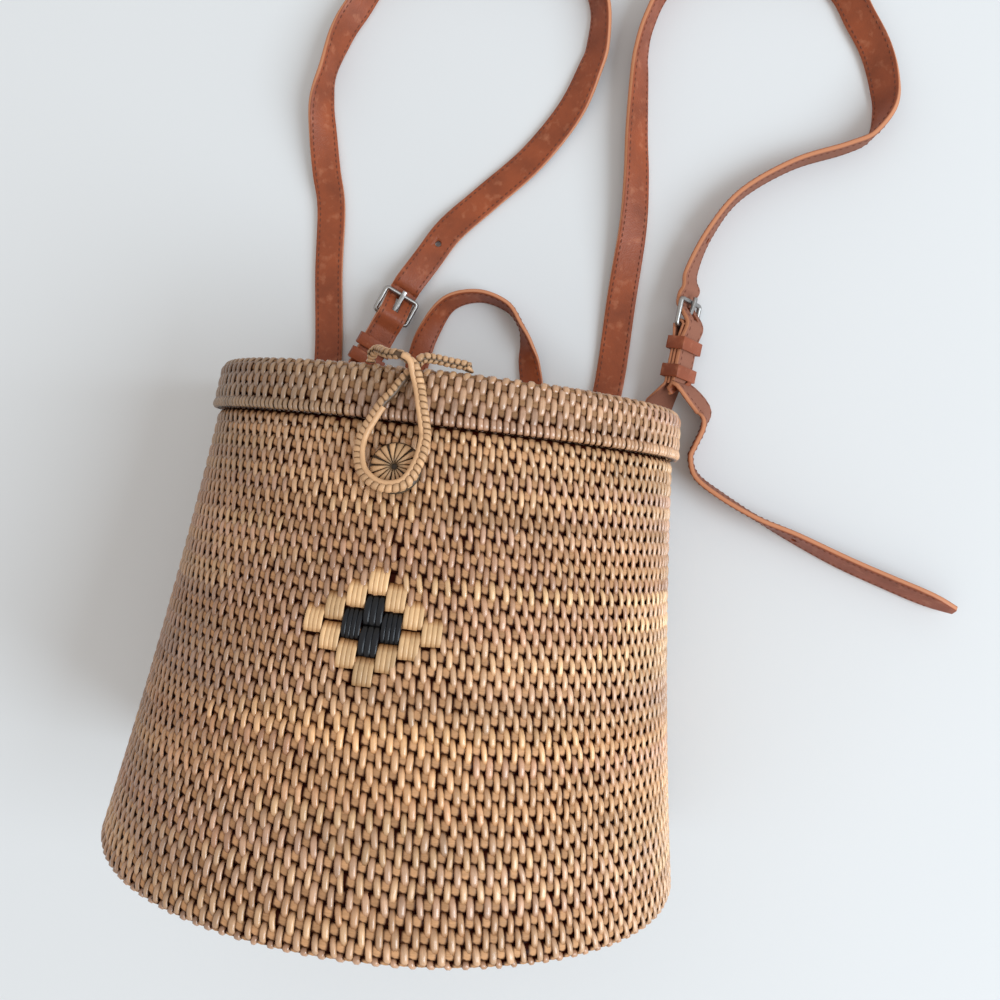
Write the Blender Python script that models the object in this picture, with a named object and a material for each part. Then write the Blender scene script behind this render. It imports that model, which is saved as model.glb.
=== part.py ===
"""Woven pack basket lying on its back, lid closed, straps laid out past the lid.

+X is the wearer's side to side, +Y runs up the basket from its base to its lid, and +Z is
out of the basket's front. The frame's origin is the centre of the flat back panel.
"""

import math

import bmesh
import bpy
from mathutils import Matrix, Vector

# Basket body, in metres
basket_height = 0.208
base_width = 0.252
base_depth = 0.190
top_width = 0.208
top_depth = 0.137
waist_draw = 0.005
side_straight_share = 0.38
back_corner_radius = 0.018
base_edge_radius = 0.0035
wall_thickness = 0.0045
base_thickness = 0.005
fit_gap = 0.0003
cut_overrun = 0.010

# Lid, and the collar that it closes over
lid_depth = 0.0215
lid_top_thickness = 0.0045
lid_overhang = 0.003
lid_band_thickness = 0.0052
lid_band_end = 0.030
riser_end = 0.027
collar_thickness = 0.0025
collar_above_rim = 0.010
collar_below_rim = 0.009

# Reed lashings that hinge the lid to the back wall
lashing_reed = 0.0008
lashing_spread = 0.046
lashing_drop = 0.0047
lashing_bend = 0.0016

# Closure loop and button
loop_rope_radius = 0.0021
loop_width = 0.0244
loop_length = 0.0475
loop_root_back = 0.007
button_below_rim = 0.0186
button_offset = 0.0012
button_rim_radius = 0.0108
button_rim_thickness = 0.0022
button_crown_rise = 0.0028
button_shank_radius = 0.002
button_recess = 0.0015
button_toggle_radius = 0.0055
button_toggle_thickness = 0.002

# Leather
floor_drop = 0.0041
strap_width = 0.015
strap_thickness = 0.0025
strap_tip_length = 0.010
tail_lift = 0.0016
anchor_thickness = 0.0018
handle_width = 0.012
handle_thickness = 0.0022
handle_arch = 0.056
strap_reach = 0.245
strap_spread = 0.100

# Rivets through the leather and the back wall
rivet_below_top = 0.042
anchor_rivet_height = 0.030
rivet_head_radius = 0.004
rivet_head_thickness = 0.001
rivet_shank_radius = 0.0015
left_strap_rivet = -0.082
right_strap_rivet = 0.066
left_anchor_foot = -0.066
right_anchor_foot = 0.082
handle_foot = 0.033
strip_end_margin = 0.008

# Buckles, keepers and punched holes
buckle_wire = 0.0012
buckle_opening = 0.017
buckle_reach = 0.013
buckle_corner = 0.0014
prong_width = 0.0022
prong_thickness = 0.0014
prong_sleeve_wall = 0.0008
prong_overhang = 0.0012
prong_slot_clearance = 0.0006
prong_slot_length = 0.0090
prong_slot_back_share = 0.46
keeper_length = 0.0064
keeper_wall = 0.0012
keeper_clearance = 0.0005
punch_radius = 0.0016
punch_pitch = 0.020
spare_punches = 3

wall_top = basket_height - lid_top_thickness - fit_gap
rim_height = basket_height - lid_depth
lid_underside = basket_height - lid_top_thickness
button_height = rim_height - button_below_rim
rivet_height = basket_height - rivet_below_top

# Thickness of the folded anchor, its fold round the buckle's bar, and the strap's place on it
anchor_folded = 2 * anchor_thickness
fold_radius = buckle_wire + fit_gap + anchor_thickness
tail_offset = anchor_folded / 2 + fit_gap + strap_thickness / 2
stack_half_width = buckle_opening / 2 + buckle_wire
stack_half_height = buckle_wire + fit_gap + strap_thickness

# Each buckle's pivot bar as shares of the spread and of the reach, its heading and roll in
# degrees, the places of its keepers behind the bar in keeper lengths, and which of the strap's
# faces is up there: 1 for the grain, -1 for its reverse
buckles_shares = {
    "left": {"bar": (-0.47, 0.160), "heading": 24, "roll": 24, "keepers": (-2.62, -3.95), "face": 1},
    "right": {"bar": (1.055, 0.193), "heading": 5, "roll": 58, "keepers": (-1.42, -3.60), "face": -1},
}

# Where each strap lies past the lid: shares of the spread and of the reach, then its roll in
# degrees about the way it runs. 0 is flat on the floor and 90 stands on edge.
strap_routes_shares = {
    "left": (
        (-0.8, 0.06, 0),
        (-0.85, 0.25, 0),
        (-0.874, 0.388, 4),
        (-0.919, 0.466, 14),
        (-0.952, 0.538, 30),
        (-0.975, 0.61, 52),
        (-0.957, 0.682, 78),
        (-0.904, 0.762, 60),
        (-0.837, 0.817, 52),
        (-0.696, 0.909, 66),
        (-0.479, 0.968, 78),
        (-0.183, 0.983, 84),
        (0.112, 0.968, 80),
        (0.329, 0.919, 66),
        (0.436, 0.851, 54),
        (0.45, 0.769, 40),
        (0.425, 0.721, 30),
        (0.343, 0.63, 14),
        (0.173, 0.527, 6),
        (-0.038, 0.439, 0),
        (-0.215, 0.363, -6),
        (-0.313, 0.297, -14),
    ),
    "right": (
        (0.705, 0.07, 0),
        (0.718, 0.25, 8),
        (0.734, 0.395, 26),
        (0.722, 0.498, 38),
        (0.698, 0.59, 48),
        (0.678, 0.708, 60),
        (0.674, 0.756, 70),
        (0.693, 0.815, 78),
        (0.762, 0.889, 82),
        (0.92, 0.958, 80),
        (1.147, 0.983, 72),
        (1.393, 0.959, 60),
        (1.612, 0.913, 40),
        (1.733, 0.847, 24),
        (1.823, 0.788, 22),
        (1.875, 0.726, 34),
        (1.892, 0.669, 56),
        (1.846, 0.613, 84),
        (1.728, 0.584, 88),
        (1.482, 0.544, 88),
        (1.245, 0.475, 90),
        (1.117, 0.392, 96),
        (1.053, 0.313, 108),
    ),
}

# The free tail of the right strap past its last keeper, in the same shares
right_tail_shares = (
    (1.189, 0.032, 120),
    (1.199, -0.006, 90),
    (1.168, -0.046, 90),
    (1.156, -0.07, 92),
    (1.196, -0.106, 97),
    (1.324, -0.139, 98),
    (1.511, -0.176, 92),
    (1.708, -0.207, 76),
    (1.945, -0.244, 68),
    (2.191, -0.276, 66),
    (2.497, -0.313, 64),
)

# The handle's arch: shares of its feet's distance from the middle and of its height, then its roll
handle_arch_shares = (
    (-0.98, 0.1, 6),
    (-0.922, 0.335, 14),
    (-0.81, 0.589, 34),
    (-0.522, 0.881, 62),
    (-0.046, 0.979, 74),
    (0.409, 0.91, 78),
    (0.646, 0.762, 84),
    (0.783, 0.585, 60),
    (0.872, 0.373, 20),
    (0.96, 0.1, 4),
)

# The closure loop's ends, rise and fall on the lid: shares of half its width, of its roots'
# distance from the front and of the rope's radius
loop_root_shares = ((-1.40, 0.0), (1.78, 0.0))
loop_rise_shares = ((-1.36, 0.35, 0.5), (-1.12, 0.75, 1.2))
loop_fall_shares = ((0.76, 0.80, 0.5), (1.12, 0.45, 0.35), (1.52, 0.15, 0.2))

# Its run over the front: shares of half its width, of its length below the lid's top, and of the
# rope's radius that it stands clear of the basket
loop_front_shares = (
    (-0.62, -0.062, 1.9),
    (-0.10, -0.052, 2.9),
    (0.25, 0.015, 2.35),
    (0.49, 0.166, 0.9),
    (0.70, 0.343, 0.7),
    (0.87, 0.520, 1.15),
    (0.92, 0.606, 1.45),
    (0.86, 0.775, 1.85),
    (0.59, 0.920, 2.1),
    (0.09, 0.994, 1.95),
    (-0.38, 0.962, 1.8),
    (-0.84, 0.882, 1.45),
    (-1.06, 0.745, 0.8),
    (-1.05, 0.608, 0.7),
    (-0.81, 0.463, 1.15),
    (-0.57, 0.343, 0.1),
    (-0.28, 0.240, 0.0),
    (-0.14, 0.170, 0.0),
    (0.04, 0.097, 0.0),
    (0.25, 0.020, 0.0),
    (0.42, -0.055, 0.0),
)

LEATHER = (0.40, 0.105, 0.045)
REED = (0.52, 0.33, 0.17)


def clear_scene():
    for obj in list(bpy.data.objects):
        bpy.data.objects.remove(obj, do_unlink=True)


def material(name, colour, roughness, metallic=0.0):
    mat = bpy.data.materials.new(name)
    mat.use_nodes = True
    shader = mat.node_tree.nodes["Principled BSDF"]
    shader.inputs["Base Color"].default_value = (*colour, 1.0)
    shader.inputs["Roughness"].default_value = roughness
    shader.inputs["Metallic"].default_value = metallic
    return mat


def add_object(name, bm, mat, parent, origin=(0.0, 0.0, 0.0)):
    """Makes an object from a mesh in the basket's own axes, with its origin at one point of them."""
    bmesh.ops.recalc_face_normals(bm, faces=bm.faces)
    bmesh.ops.translate(bm, vec=-Vector(origin), verts=bm.verts)
    mesh = bpy.data.meshes.new(name)
    bm.to_mesh(mesh)
    bm.free()
    mesh.materials.append(mat)
    mesh.shade_smooth()
    mesh.set_sharp_from_angle(angle=math.radians(35))
    obj = bpy.data.objects.new(name, mesh)
    bpy.context.collection.objects.link(obj)
    obj.parent = parent
    obj.location = Vector(origin)
    return obj


def combine(obj, other, name, operation="DIFFERENCE"):
    """Takes another object away from one, or joins it on, and hides the other."""
    other.hide_render = True
    other.display_type = "WIRE"
    boolean = obj.modifiers.new(name, "BOOLEAN")
    boolean.operation = operation
    boolean.solver = "EXACT"
    boolean.object = other


def loft(rings, closed=False):
    """Joins rings of points one after the other. A closed loft also joins the last to the first."""
    bm = bmesh.new()
    rows = [[bm.verts.new(point) for point in ring] for ring in rings]
    pairs = list(zip(rows, rows[1:]))
    if closed:
        pairs.append((rows[-1], rows[0]))
    else:
        bm.faces.new(rows[0])
        bm.faces.new(rows[-1])
    for first, second in pairs:
        for i in range(len(first)):
            bm.faces.new((first[i - 1], first[i], second[i], second[i - 1]))
    return bm


def box(low, high):
    bm = bmesh.new()
    bmesh.ops.create_cube(bm, size=1.0)
    bmesh.ops.scale(bm, vec=Vector(high) - Vector(low), verts=bm.verts)
    bmesh.ops.translate(bm, vec=(Vector(high) + Vector(low)) / 2, verts=bm.verts)
    return bm


def facing(start, axis):
    """Matrix that takes the local Z axis to an axis through a point."""
    turn = Vector(axis).to_track_quat("Z", "Y").to_matrix().to_4x4()
    return Matrix.Translation(Vector(start)) @ turn


def rod(start, end, radius, segments=16):
    """A round rod between two points."""
    start, end = Vector(start), Vector(end)
    bm = bmesh.new()
    bmesh.ops.create_cone(
        bm,
        cap_ends=True,
        segments=segments,
        radius1=radius,
        radius2=radius,
        depth=(end - start).length,
    )
    bmesh.ops.transform(bm, matrix=facing((start + end) / 2, end - start), verts=bm.verts)
    return bm


def turned_ring(profile, start, axis, segments=28):
    """Turns a closed (radius, height) profile round an axis through a point."""
    rings = []
    for step in range(segments):
        angle = 2 * math.pi * step / segments
        rings.append([(r * math.cos(angle), r * math.sin(angle), h) for r, h in profile])
    bm = loft(rings, closed=True)
    bmesh.ops.transform(bm, matrix=facing(start, axis), verts=bm.verts)
    return bm


def turned_solid(profile, start, axis, segments=16):
    """Turns a (radius, height) profile whose two ends are on the axis."""
    bm = bmesh.new()
    verts = [bm.verts.new((r, 0.0, h)) for r, h in profile]
    edges = [bm.edges.new(pair) for pair in zip(verts, verts[1:])]
    bmesh.ops.spin(
        bm,
        geom=verts + edges,
        angle=2 * math.pi,
        steps=segments,
        axis=(0.0, 0.0, 1.0),
        cent=(0.0, 0.0, 0.0),
        use_merge=True,
    )
    bmesh.ops.remove_doubles(bm, verts=bm.verts, dist=fit_gap / 30)
    bmesh.ops.transform(bm, matrix=facing(start, axis), verts=bm.verts)
    return bm


def tube(points, radius, sides=8, closed=False, ends=None):
    """A round tube along points, closed on itself or ending square to the two end directions."""
    points = [Vector(point) for point in points]
    last = len(points) - 1
    rings = []
    up = None
    for i, point in enumerate(points):
        if closed:
            ahead = points[(i + 1) % len(points)] - points[i - 1]
        else:
            ahead = points[min(i + 1, last)] - points[max(i - 1, 0)]
        if ends and i in (0, last):
            ahead = Vector(ends[0] if i == 0 else ends[1])
        ahead.normalize()
        if up is None:
            up = ahead.orthogonal().normalized()
        up = (up - ahead * up.dot(ahead)).normalized()
        side = ahead.cross(up)
        ring = []
        for step in range(sides):
            angle = 2 * math.pi * step / sides
            ring.append(point + (up * math.cos(angle) + side * math.sin(angle)) * radius)
        rings.append(ring)
    return loft(rings, closed=closed)


def rounded_loop(half_x, half_y, bend, steps=3):
    """Points of a rounded rectangle about the origin."""
    points = []
    for i, (sx, sy) in enumerate(((-1, -1), (1, -1), (1, 1), (-1, 1))):
        start = math.pi + i * math.pi / 2
        for step in range(steps + 1):
            angle = start + math.pi / 2 * step / steps
            x = sx * (half_x - bend) + bend * math.cos(angle)
            y = sy * (half_y - bend) + bend * math.sin(angle)
            points.append((x, y))
    return points


def outer_size(height):
    """Width and depth of the woven body at one height."""
    share = height / basket_height
    waist = waist_draw * 4 * share * (1 - share)
    width = base_width + (top_width - base_width) * share - waist
    return width, base_depth + (top_depth - base_depth) * share


def section(height, inset, back=None):
    """The D-shaped section: flat back, rounded back corners, straight sides, curved front."""
    back = inset if back is None else back
    width, depth = outer_size(height)
    half = width / 2 - inset
    straight = side_straight_share * depth
    front = depth - straight - inset
    radius = back_corner_radius - inset
    corner_steps = 5
    front_steps = 26
    points = []
    for start, x in ((math.pi, radius - half), (1.5 * math.pi, half - radius)):
        for step in range(corner_steps + 1):
            angle = start + math.pi / 2 * step / corner_steps
            points.append((x + radius * math.cos(angle), back + radius + radius * math.sin(angle)))
    for step in range(front_steps + 1):
        angle = math.pi * step / front_steps
        points.append((half * math.cos(angle), straight + front * math.sin(angle)))
    return [(x, height, z) for x, z in points]


def front_surface(x, height):
    """How far out the basket's front is at a place, on the lid's band or on the body under it."""
    out = lid_overhang if height > rim_height else 0.0
    width, depth = outer_size(min(height, basket_height))
    straight = side_straight_share * depth
    share = x / (width / 2 + out)
    return straight + (depth - straight + out) * math.sqrt(1 - share * share)


def shell(levels, outer_inset, inner_inset, outer_back=None):
    """A closed wall between an outer and an inner inset, up through the given heights."""
    outside = [section(level, outer_inset(level), outer_back) for level in levels]
    inside = [section(level, inner_inset(level)) for level in reversed(levels)]
    return loft(outside + inside, closed=True)


def base_rounding(height):
    """How far the rounded bottom edge draws the wall in at one height."""
    if height >= base_edge_radius:
        return 0.0
    left = 1 - height / base_edge_radius
    return base_edge_radius * (1 - math.sqrt(1 - left * left))


def body_levels():
    """Heights that shape the body: close together in the rounded edge, wider above it."""
    edge_steps = 3
    wall_steps = 8
    levels = [base_edge_radius * step / edge_steps for step in range(edge_steps)]
    rise = wall_top - base_edge_radius
    return levels + [base_edge_radius + rise * step / wall_steps for step in range(wall_steps + 1)]


def build_body(parent, reed):
    """The woven wall, its base panel and the collar that the lid closes over."""
    wall = add_object("body_wall", shell(body_levels(), base_rounding, lambda level: wall_thickness), reed, parent)
    reach = base_width
    above_rim = box(
        (-reach, rim_height, riser_end),
        (reach, basket_height + cut_overrun, base_depth + cut_overrun),
    )
    combine(wall, add_object("rim_cutter", above_rim, reed, parent), "rim")

    lining = wall_thickness + fit_gap
    panel = loft([section(level, lining) for level in (0.0, base_thickness)])
    add_object("base_panel", panel, reed, parent)
    levels = [rim_height - collar_below_rim, rim_height, rim_height + collar_above_rim]
    collar = shell(levels, lambda level: lining, lambda level: lining + collar_thickness)
    add_object("rim_collar", collar, reed, parent)
    return wall


def build_lid(parent, reed):
    """The lid's flat top, and the band round its sides and front that is open across the back."""
    axis = (0.0, basket_height, 0.0)
    top = loft([section(level, -lid_overhang, 0.0) for level in (lid_underside, basket_height)])
    lid_top = add_object("lid_top", top, reed, parent, axis)
    low = rim_height + fit_gap
    high = lid_underside - fit_gap
    band_steps = 3
    levels = [low + (high - low) * step / band_steps for step in range(band_steps + 1)]
    band = shell(levels, lambda level: -lid_overhang, lambda level: lid_band_thickness - lid_overhang)
    lid_band = add_object("lid_band", band, reed, parent, axis)
    reach = base_width
    across_back = box(
        (-reach, rim_height - cut_overrun, -cut_overrun),
        (reach, basket_height + cut_overrun, lid_band_end),
    )
    combine(lid_band, add_object("band_cutter", across_back, reed, parent), "back_opening")
    return lid_top


def build_lashings(parent, reed, wall, lid_top):
    """Two reed loops, each through a hole in the back wall and one in the lid, that hinge the lid."""
    hole = lashing_reed + fit_gap
    outside = -fit_gap - lashing_reed
    inside = wall_thickness + fit_gap + lashing_reed
    high = basket_height + fit_gap + lashing_reed
    low = wall_top - lashing_drop
    middle = ((high + low) / 2, (inside + outside) / 2)
    outline = rounded_loop((high - low) / 2, (inside - outside) / 2, lashing_bend)
    for side, x in (("left", -lashing_spread), ("right", lashing_spread)):
        points = [(x, middle[0] + y, middle[1] + z) for y, z in outline]
        origin = (x, basket_height, 0.0)
        add_object(f"hinge_lashing_{side}", tube(points, lashing_reed, closed=True), reed, parent, origin)
        in_wall = rod((x, low, -cut_overrun), (x, low, cut_overrun), hole)
        combine(wall, add_object(f"wall_lashing_drill_{side}", in_wall, reed, parent), f"lashing_{side}")
        in_lid = rod((x, lid_underside - cut_overrun, inside), (x, basket_height + cut_overrun, inside), hole)
        combine(lid_top, add_object(f"lid_lashing_drill_{side}", in_lid, reed, parent), f"lashing_{side}")


def smooth_route(points, steps):
    """Points on a smooth curve through the given ones. Coordinates past the second never overshoot."""
    size = len(points[0])
    last = len(points) - 1
    tangents = []
    for i, point in enumerate(points):
        before = points[max(i - 1, 0)]
        after = points[min(i + 1, last)]
        row = []
        for k in range(size):
            down = point[k] - before[k]
            up = after[k] - point[k]
            if k < 2:
                row.append((down + up) / 2)
            elif down * up <= 0:
                row.append(0.0)
            else:
                row.append(2 * down * up / (down + up))
        tangents.append(row)
    out = []
    for i in range(last):
        for step in range(steps):
            t = step / steps
            a = 2 * t**3 - 3 * t**2 + 1
            b = t**3 - 2 * t**2 + t
            c = 3 * t**2 - 2 * t**3
            d = t**3 - t**2
            out.append(
                tuple(
                    a * points[i][k] + b * tangents[i][k] + c * points[i + 1][k] + d * tangents[i + 1][k]
                    for k in range(size)
                )
            )
    out.append(tuple(points[last]))
    return out


def build_closure(parent, reed, wall):
    """The loop rooted in the lid's top, and the button on the body that it lies over."""
    half = loop_width / 2
    lie = loop_rope_radius + fit_gap
    root_z = front_surface(0.0, basket_height) - loop_root_back
    on_lid = basket_height + lie

    def root(shares):
        x, z = shares[0] * half, root_z + shares[1] * loop_root_back
        return [(x, basket_height + fit_gap, z), (x, on_lid, z)]

    def over_edge(shares):
        x, z_share, y_share = shares
        return (x * half, on_lid + y_share * loop_rope_radius, root_z + z_share * loop_root_back)

    route = root(loop_root_shares[0])
    route += [over_edge(shares) for shares in loop_rise_shares]
    for x_share, drop_share, clear_share in loop_front_shares:
        x = x_share * half
        y = basket_height - drop_share * loop_length
        route.append((x, y, front_surface(x, y) + lie + clear_share * loop_rope_radius))
    route += [over_edge(shares) for shares in loop_fall_shares]
    route += reversed(root(loop_root_shares[1]))
    points = smooth_route(route, 3)
    pivot = (0.0, on_lid, root_z)
    rope = tube(points, loop_rope_radius, ends=((0.0, 1.0, 0.0), (0.0, -1.0, 0.0)))
    add_object("closure_loop", rope, reed, parent, pivot)

    lean = math.atan2(base_depth - top_depth, basket_height)
    outward = Vector((0.0, math.sin(lean), math.cos(lean)))
    surface = front_surface(button_offset, button_height)
    seat = Vector((button_offset, button_height, surface))
    bore = button_shank_radius + fit_gap
    head = [(bore, fit_gap), (button_rim_radius, fit_gap)]
    dome_steps = 5
    for step in range(dome_steps):
        radius = button_rim_radius + (bore - button_rim_radius) * step / (dome_steps - 1)
        share = radius / button_rim_radius
        head.append((radius, button_rim_thickness + button_crown_rise * (1 - share * share)))
    add_object("button_head", turned_ring(head, seat, outward), reed, parent, seat)
    inner = -wall_thickness - fit_gap
    stem_top = button_rim_thickness + button_crown_rise - button_recess
    stem = [
        (0.0, inner - button_toggle_thickness),
        (button_toggle_radius, inner - button_toggle_thickness),
        (button_toggle_radius, inner),
        (button_shank_radius, inner),
        (button_shank_radius, stem_top),
        (0.0, stem_top),
    ]
    add_object("button_stem", turned_solid(stem, seat, outward, 20), reed, parent, seat)
    reach = outward * (wall_thickness + cut_overrun)
    drill = add_object("button_drill", rod(seat - reach, seat + reach, bore), reed, parent)
    combine(wall, drill, "button")


def lying(x_share, y_share, roll_deg, width, thickness, spread, reach):
    """A place past the lid where a strip lies on the floor, and its roll."""
    roll = math.radians(roll_deg)
    rise = abs(math.sin(roll)) * width / 2 + abs(math.cos(roll)) * thickness / 2
    return (Vector((x_share * spread, basket_height + y_share * reach, rise - floor_drop)), roll)


def stations_of(route, steps):
    """Dense (point, width direction, normal) along a route of (point, roll or width direction)."""
    keyed = []
    for i, (point, way) in enumerate(route):
        if not isinstance(way, Vector):
            ahead = route[min(i + 1, len(route) - 1)][0] - route[max(i - 1, 0)][0]
            across = Vector((ahead.y, -ahead.x, 0.0)).normalized()
            way = across * math.cos(way) - Vector((0.0, 0.0, math.sin(way)))
        keyed.append((*point, *way))
    dense = smooth_route(keyed, steps)
    out = []
    for i, values in enumerate(dense):
        ahead = Vector(dense[min(i + 1, len(dense) - 1)][:3]) - Vector(dense[max(i - 1, 0)][:3])
        ahead.normalize()
        width = Vector(values[3:])
        width = (width - ahead * width.dot(ahead)).normalized()
        out.append((Vector(values[:3]), width, width.cross(ahead)))
    return out


def strip(stations, width, thicknesses, tip=0.0):
    """A strip of leather through the stations, with a rounded far end where a tip is asked for."""
    rings = []
    end = stations[-1][0]
    tip_share = 0.35
    for (point, across, normal), thickness in zip(stations, thicknesses):
        half = width / 2
        left = (end - point).length
        if tip and left < tip:
            taper = 1 - left / tip
            half *= max(tip_share, math.sqrt(max(0.0, 1 - taper * taper)))
        low = point - normal * thickness / 2
        high = point + normal * thickness / 2
        rings.append([low - across * half, low + across * half, high + across * half, high - across * half])
    return loft(rings)


class Stack:
    """The folded anchor and the strap on it: a straight, leaning run behind a buckle's bar."""

    def __init__(self, name):
        shares = buckles_shares[name]
        self.name = name
        self.heading = math.radians(shares["heading"])
        self.roll = math.radians(shares["roll"])
        self.keepers = [share * keeper_length for share in shares["keepers"]]
        self.face = shares["face"]
        self.bar_x = shares["bar"][0] * strap_spread
        self.bar_y = basket_height + shares["bar"][1] * strap_reach
        self.foot = self.keepers[1] - keeper_length

    def place(self, along):
        """Matrix from (across, along the run, out of the face) axes at a place on the run."""
        rise = math.sin(self.roll) * stack_half_width + math.cos(self.roll) * stack_half_height
        run = Vector((math.sin(self.heading), math.cos(self.heading), 0.0))
        side = Vector((run.y, -run.x, 0.0))
        across = side * math.cos(self.roll) - Vector((0.0, 0.0, math.sin(self.roll)))
        centre = Vector((self.bar_x, self.bar_y, rise - floor_drop)) + run * along
        turn = Matrix((across, run, across.cross(run))).transposed().to_4x4()
        return Matrix.Translation(centre) @ turn

    def across(self):
        return self.place(0.0).to_3x3() @ Vector((1.0, 0.0, 0.0))

    def samples(self):
        """Places along the run that the anchor and the strap on it share."""
        steps = 12
        top = -2 * fold_radius
        return [self.foot + (top - self.foot) * step / steps for step in range(steps + 1)]


def build_anchor(stack, foot, parent, leather):
    """The long buckle strap: riveted low on the back, folded round the buckle's bar past the lid."""
    start = stack.place(stack.foot).translation
    edge_y = basket_height + fit_gap
    edge_share = 0.6
    edge_x = foot + (start.x - foot) * edge_share
    flat = Vector((1.0, 0.0, 0.0))
    rise = edge_y - anchor_rivet_height
    # One ply under the basket, both plies from the lid's edge on
    run_steps = 4
    thickness = [anchor_thickness] * (run_steps + 1) + [anchor_folded]
    route = [(Vector((foot, anchor_rivet_height - strip_end_margin, -fit_gap - anchor_thickness / 2)), flat)]
    for step in range(run_steps + 1):
        part = step / run_steps
        layer = -fit_gap - thickness[step + 1] / 2
        route.append((Vector((foot + (edge_x - foot) * part, anchor_rivet_height + rise * part, layer)), flat))
    nose_shares = (-1.5, -1.0, -0.6, -0.25, 0.0, 0.3, 0.55, 0.75, 0.9)
    for along in stack.samples() + [share * fold_radius for share in nose_shares]:
        route.append((stack.place(along).translation, stack.across()))
        if along > 0:
            half = math.sqrt(fold_radius**2 - along**2)
        else:
            near = max(0.0, 1 + along / (2 * fold_radius))
            half = anchor_folded / 2 + (fold_radius - anchor_folded / 2) * near * near * (3 - 2 * near)
        thickness.append(2 * half)
    steps = 2
    stations = stations_of(route, steps)
    dense = [value[2] for value in smooth_route([(t, t, t) for t in thickness], steps)]
    return add_object(f"anchor_strap_{stack.name}", strip(stations, strap_width, dense), leather, parent)


def build_buckle(stack, parent, steel, anchor):
    """The wire frame on its pivot bar, the prong on the same bar, and their holes in the anchor."""
    name = stack.name
    place = stack.place(0.0)
    pivot = place.translation
    outline = rounded_loop(stack_half_width - buckle_wire / 2, buckle_reach / 2, buckle_corner)
    points = [place @ Vector((x, y + buckle_reach / 2, 0.0)) for x, y in outline]
    add_object(f"buckle_frame_{name}", tube(points, buckle_wire, closed=True), steel, parent, pivot)

    sleeve_in = buckle_wire + fit_gap
    sleeve_out = sleeve_in + prong_sleeve_wall
    half = prong_width / 2
    profile = [(sleeve_in, -half), (sleeve_out, -half), (sleeve_out, half), (sleeve_in, half)]
    axis = stack.across()
    prong = add_object(f"buckle_prong_{name}", turned_ring(profile, pivot, axis, 20), steel, parent, pivot)
    rest = buckle_wire + fit_gap + prong_thickness / 2
    root = sleeve_in + prong_sleeve_wall / 2
    tip = buckle_reach + buckle_wire + prong_overhang
    blade = []
    for along, height in ((root, 0.0), (buckle_reach, rest), (tip, rest)):
        low, high = height - prong_thickness / 2, height + prong_thickness / 2
        corners = ((-half, low), (half, low), (half, high), (-half, high))
        blade.append([place @ Vector((x, along, z)) for x, z in corners])
    combine(prong, add_object(f"prong_blade_{name}", loft(blade), steel, parent, pivot), "blade", "UNION")

    reach = Vector((strap_width, 0.0, 0.0))
    bore = rod(place @ -reach, place @ reach, buckle_wire + fit_gap)
    combine(anchor, add_object(f"fold_bore_{name}", bore, steel, parent), "bore")
    side = half + prong_slot_clearance
    slot = box((-side, -sleeve_out - fit_gap, -2 * fold_radius), (side, 2 * fold_radius, 2 * fold_radius))
    bmesh.ops.transform(slot, matrix=place, verts=slot.verts)
    combine(anchor, add_object(f"fold_slot_{name}", slot, steel, parent), "slot")


def build_keepers(stack, parent, leather):
    """Flat leather bands round the folded anchor and the strap that lies on it."""
    half_width = strap_width / 2 + keeper_clearance
    low = -anchor_folded / 2 - keeper_clearance
    high = tail_offset + strap_thickness / 2 + keeper_clearance
    half = keeper_length / 2
    for label, along in zip(("sliding", "fixed"), stack.keepers):
        place = stack.place(along)
        rings = []
        for grow, y in ((keeper_wall, -half), (keeper_wall, half), (0.0, half), (0.0, -half)):
            x = half_width + grow
            corners = ((-x, low - grow), (x, low - grow), (x, high + grow), (-x, high + grow))
            rings.append([place @ Vector((side, y, z)) for side, z in corners])
        keeper = loft(rings, closed=True)
        add_object(f"keeper_{label}_{stack.name}", keeper, leather, parent, place.translation)


def build_strap(stack, rivet_x, tail_shares, parent, leather):
    """The shoulder strap: riveted high on the back, out past the lid, back through the buckle."""
    name = stack.name
    layer = -fit_gap - strap_thickness / 2
    low = rivet_height - strip_end_margin
    route = [(Vector((rivet_x, y, layer)), 0.0) for y in (low, rivet_height, rim_height)]
    for shares in strap_routes_shares[name]:
        route.append(lying(*shares, strap_width, strap_thickness, strap_spread, strap_reach))
    # Under the buckle's outer bar, up through the frame and over the fold
    under = buckle_wire + fit_gap + strap_thickness / 2
    over = fold_radius + fit_gap + strap_thickness / 2
    place = stack.place(0.0)
    crossing = len(route)
    for along, height in (
        (buckle_reach + 2.6 * under, -0.55 * under),
        (buckle_reach + 1.2 * under, -1.05 * under),
        (buckle_reach, -1.12 * under),
        (buckle_reach - 0.9 * under, -0.9 * under),
        (buckle_reach / 2, 0.22 * over),
        (buckle_reach / 4, 0.80 * over),
        (0.0, 1.02 * over),
    ):
        route.append((place @ Vector((0.0, along, height)), -stack.face * stack.across()))
    shared = stack.samples() if tail_shares else stack.samples()[1:]
    for along in reversed(shared):
        spot = stack.place(along) @ Vector((0.0, 0.0, tail_offset))
        route.append((spot, -stack.face * stack.across()))
    if tail_shares:
        spot = stack.place(stack.foot) @ Vector((0.0, 0.0, tail_offset + tail_lift))
        route.append((spot, -stack.face * stack.across()))
    for shares in tail_shares:
        route.append(lying(*shares, strap_width, strap_thickness, strap_spread, strap_reach))
    steps = 3
    stations = stations_of(route, steps)
    thicknesses = [strap_thickness] * len(stations)
    strap = strip(stations, strap_width, thicknesses, strap_tip_length)
    strap = add_object(f"shoulder_strap_{name}", strap, leather, parent)
    punch(strap, stack, stations[: crossing * steps], parent, leather)
    return strap


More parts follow.
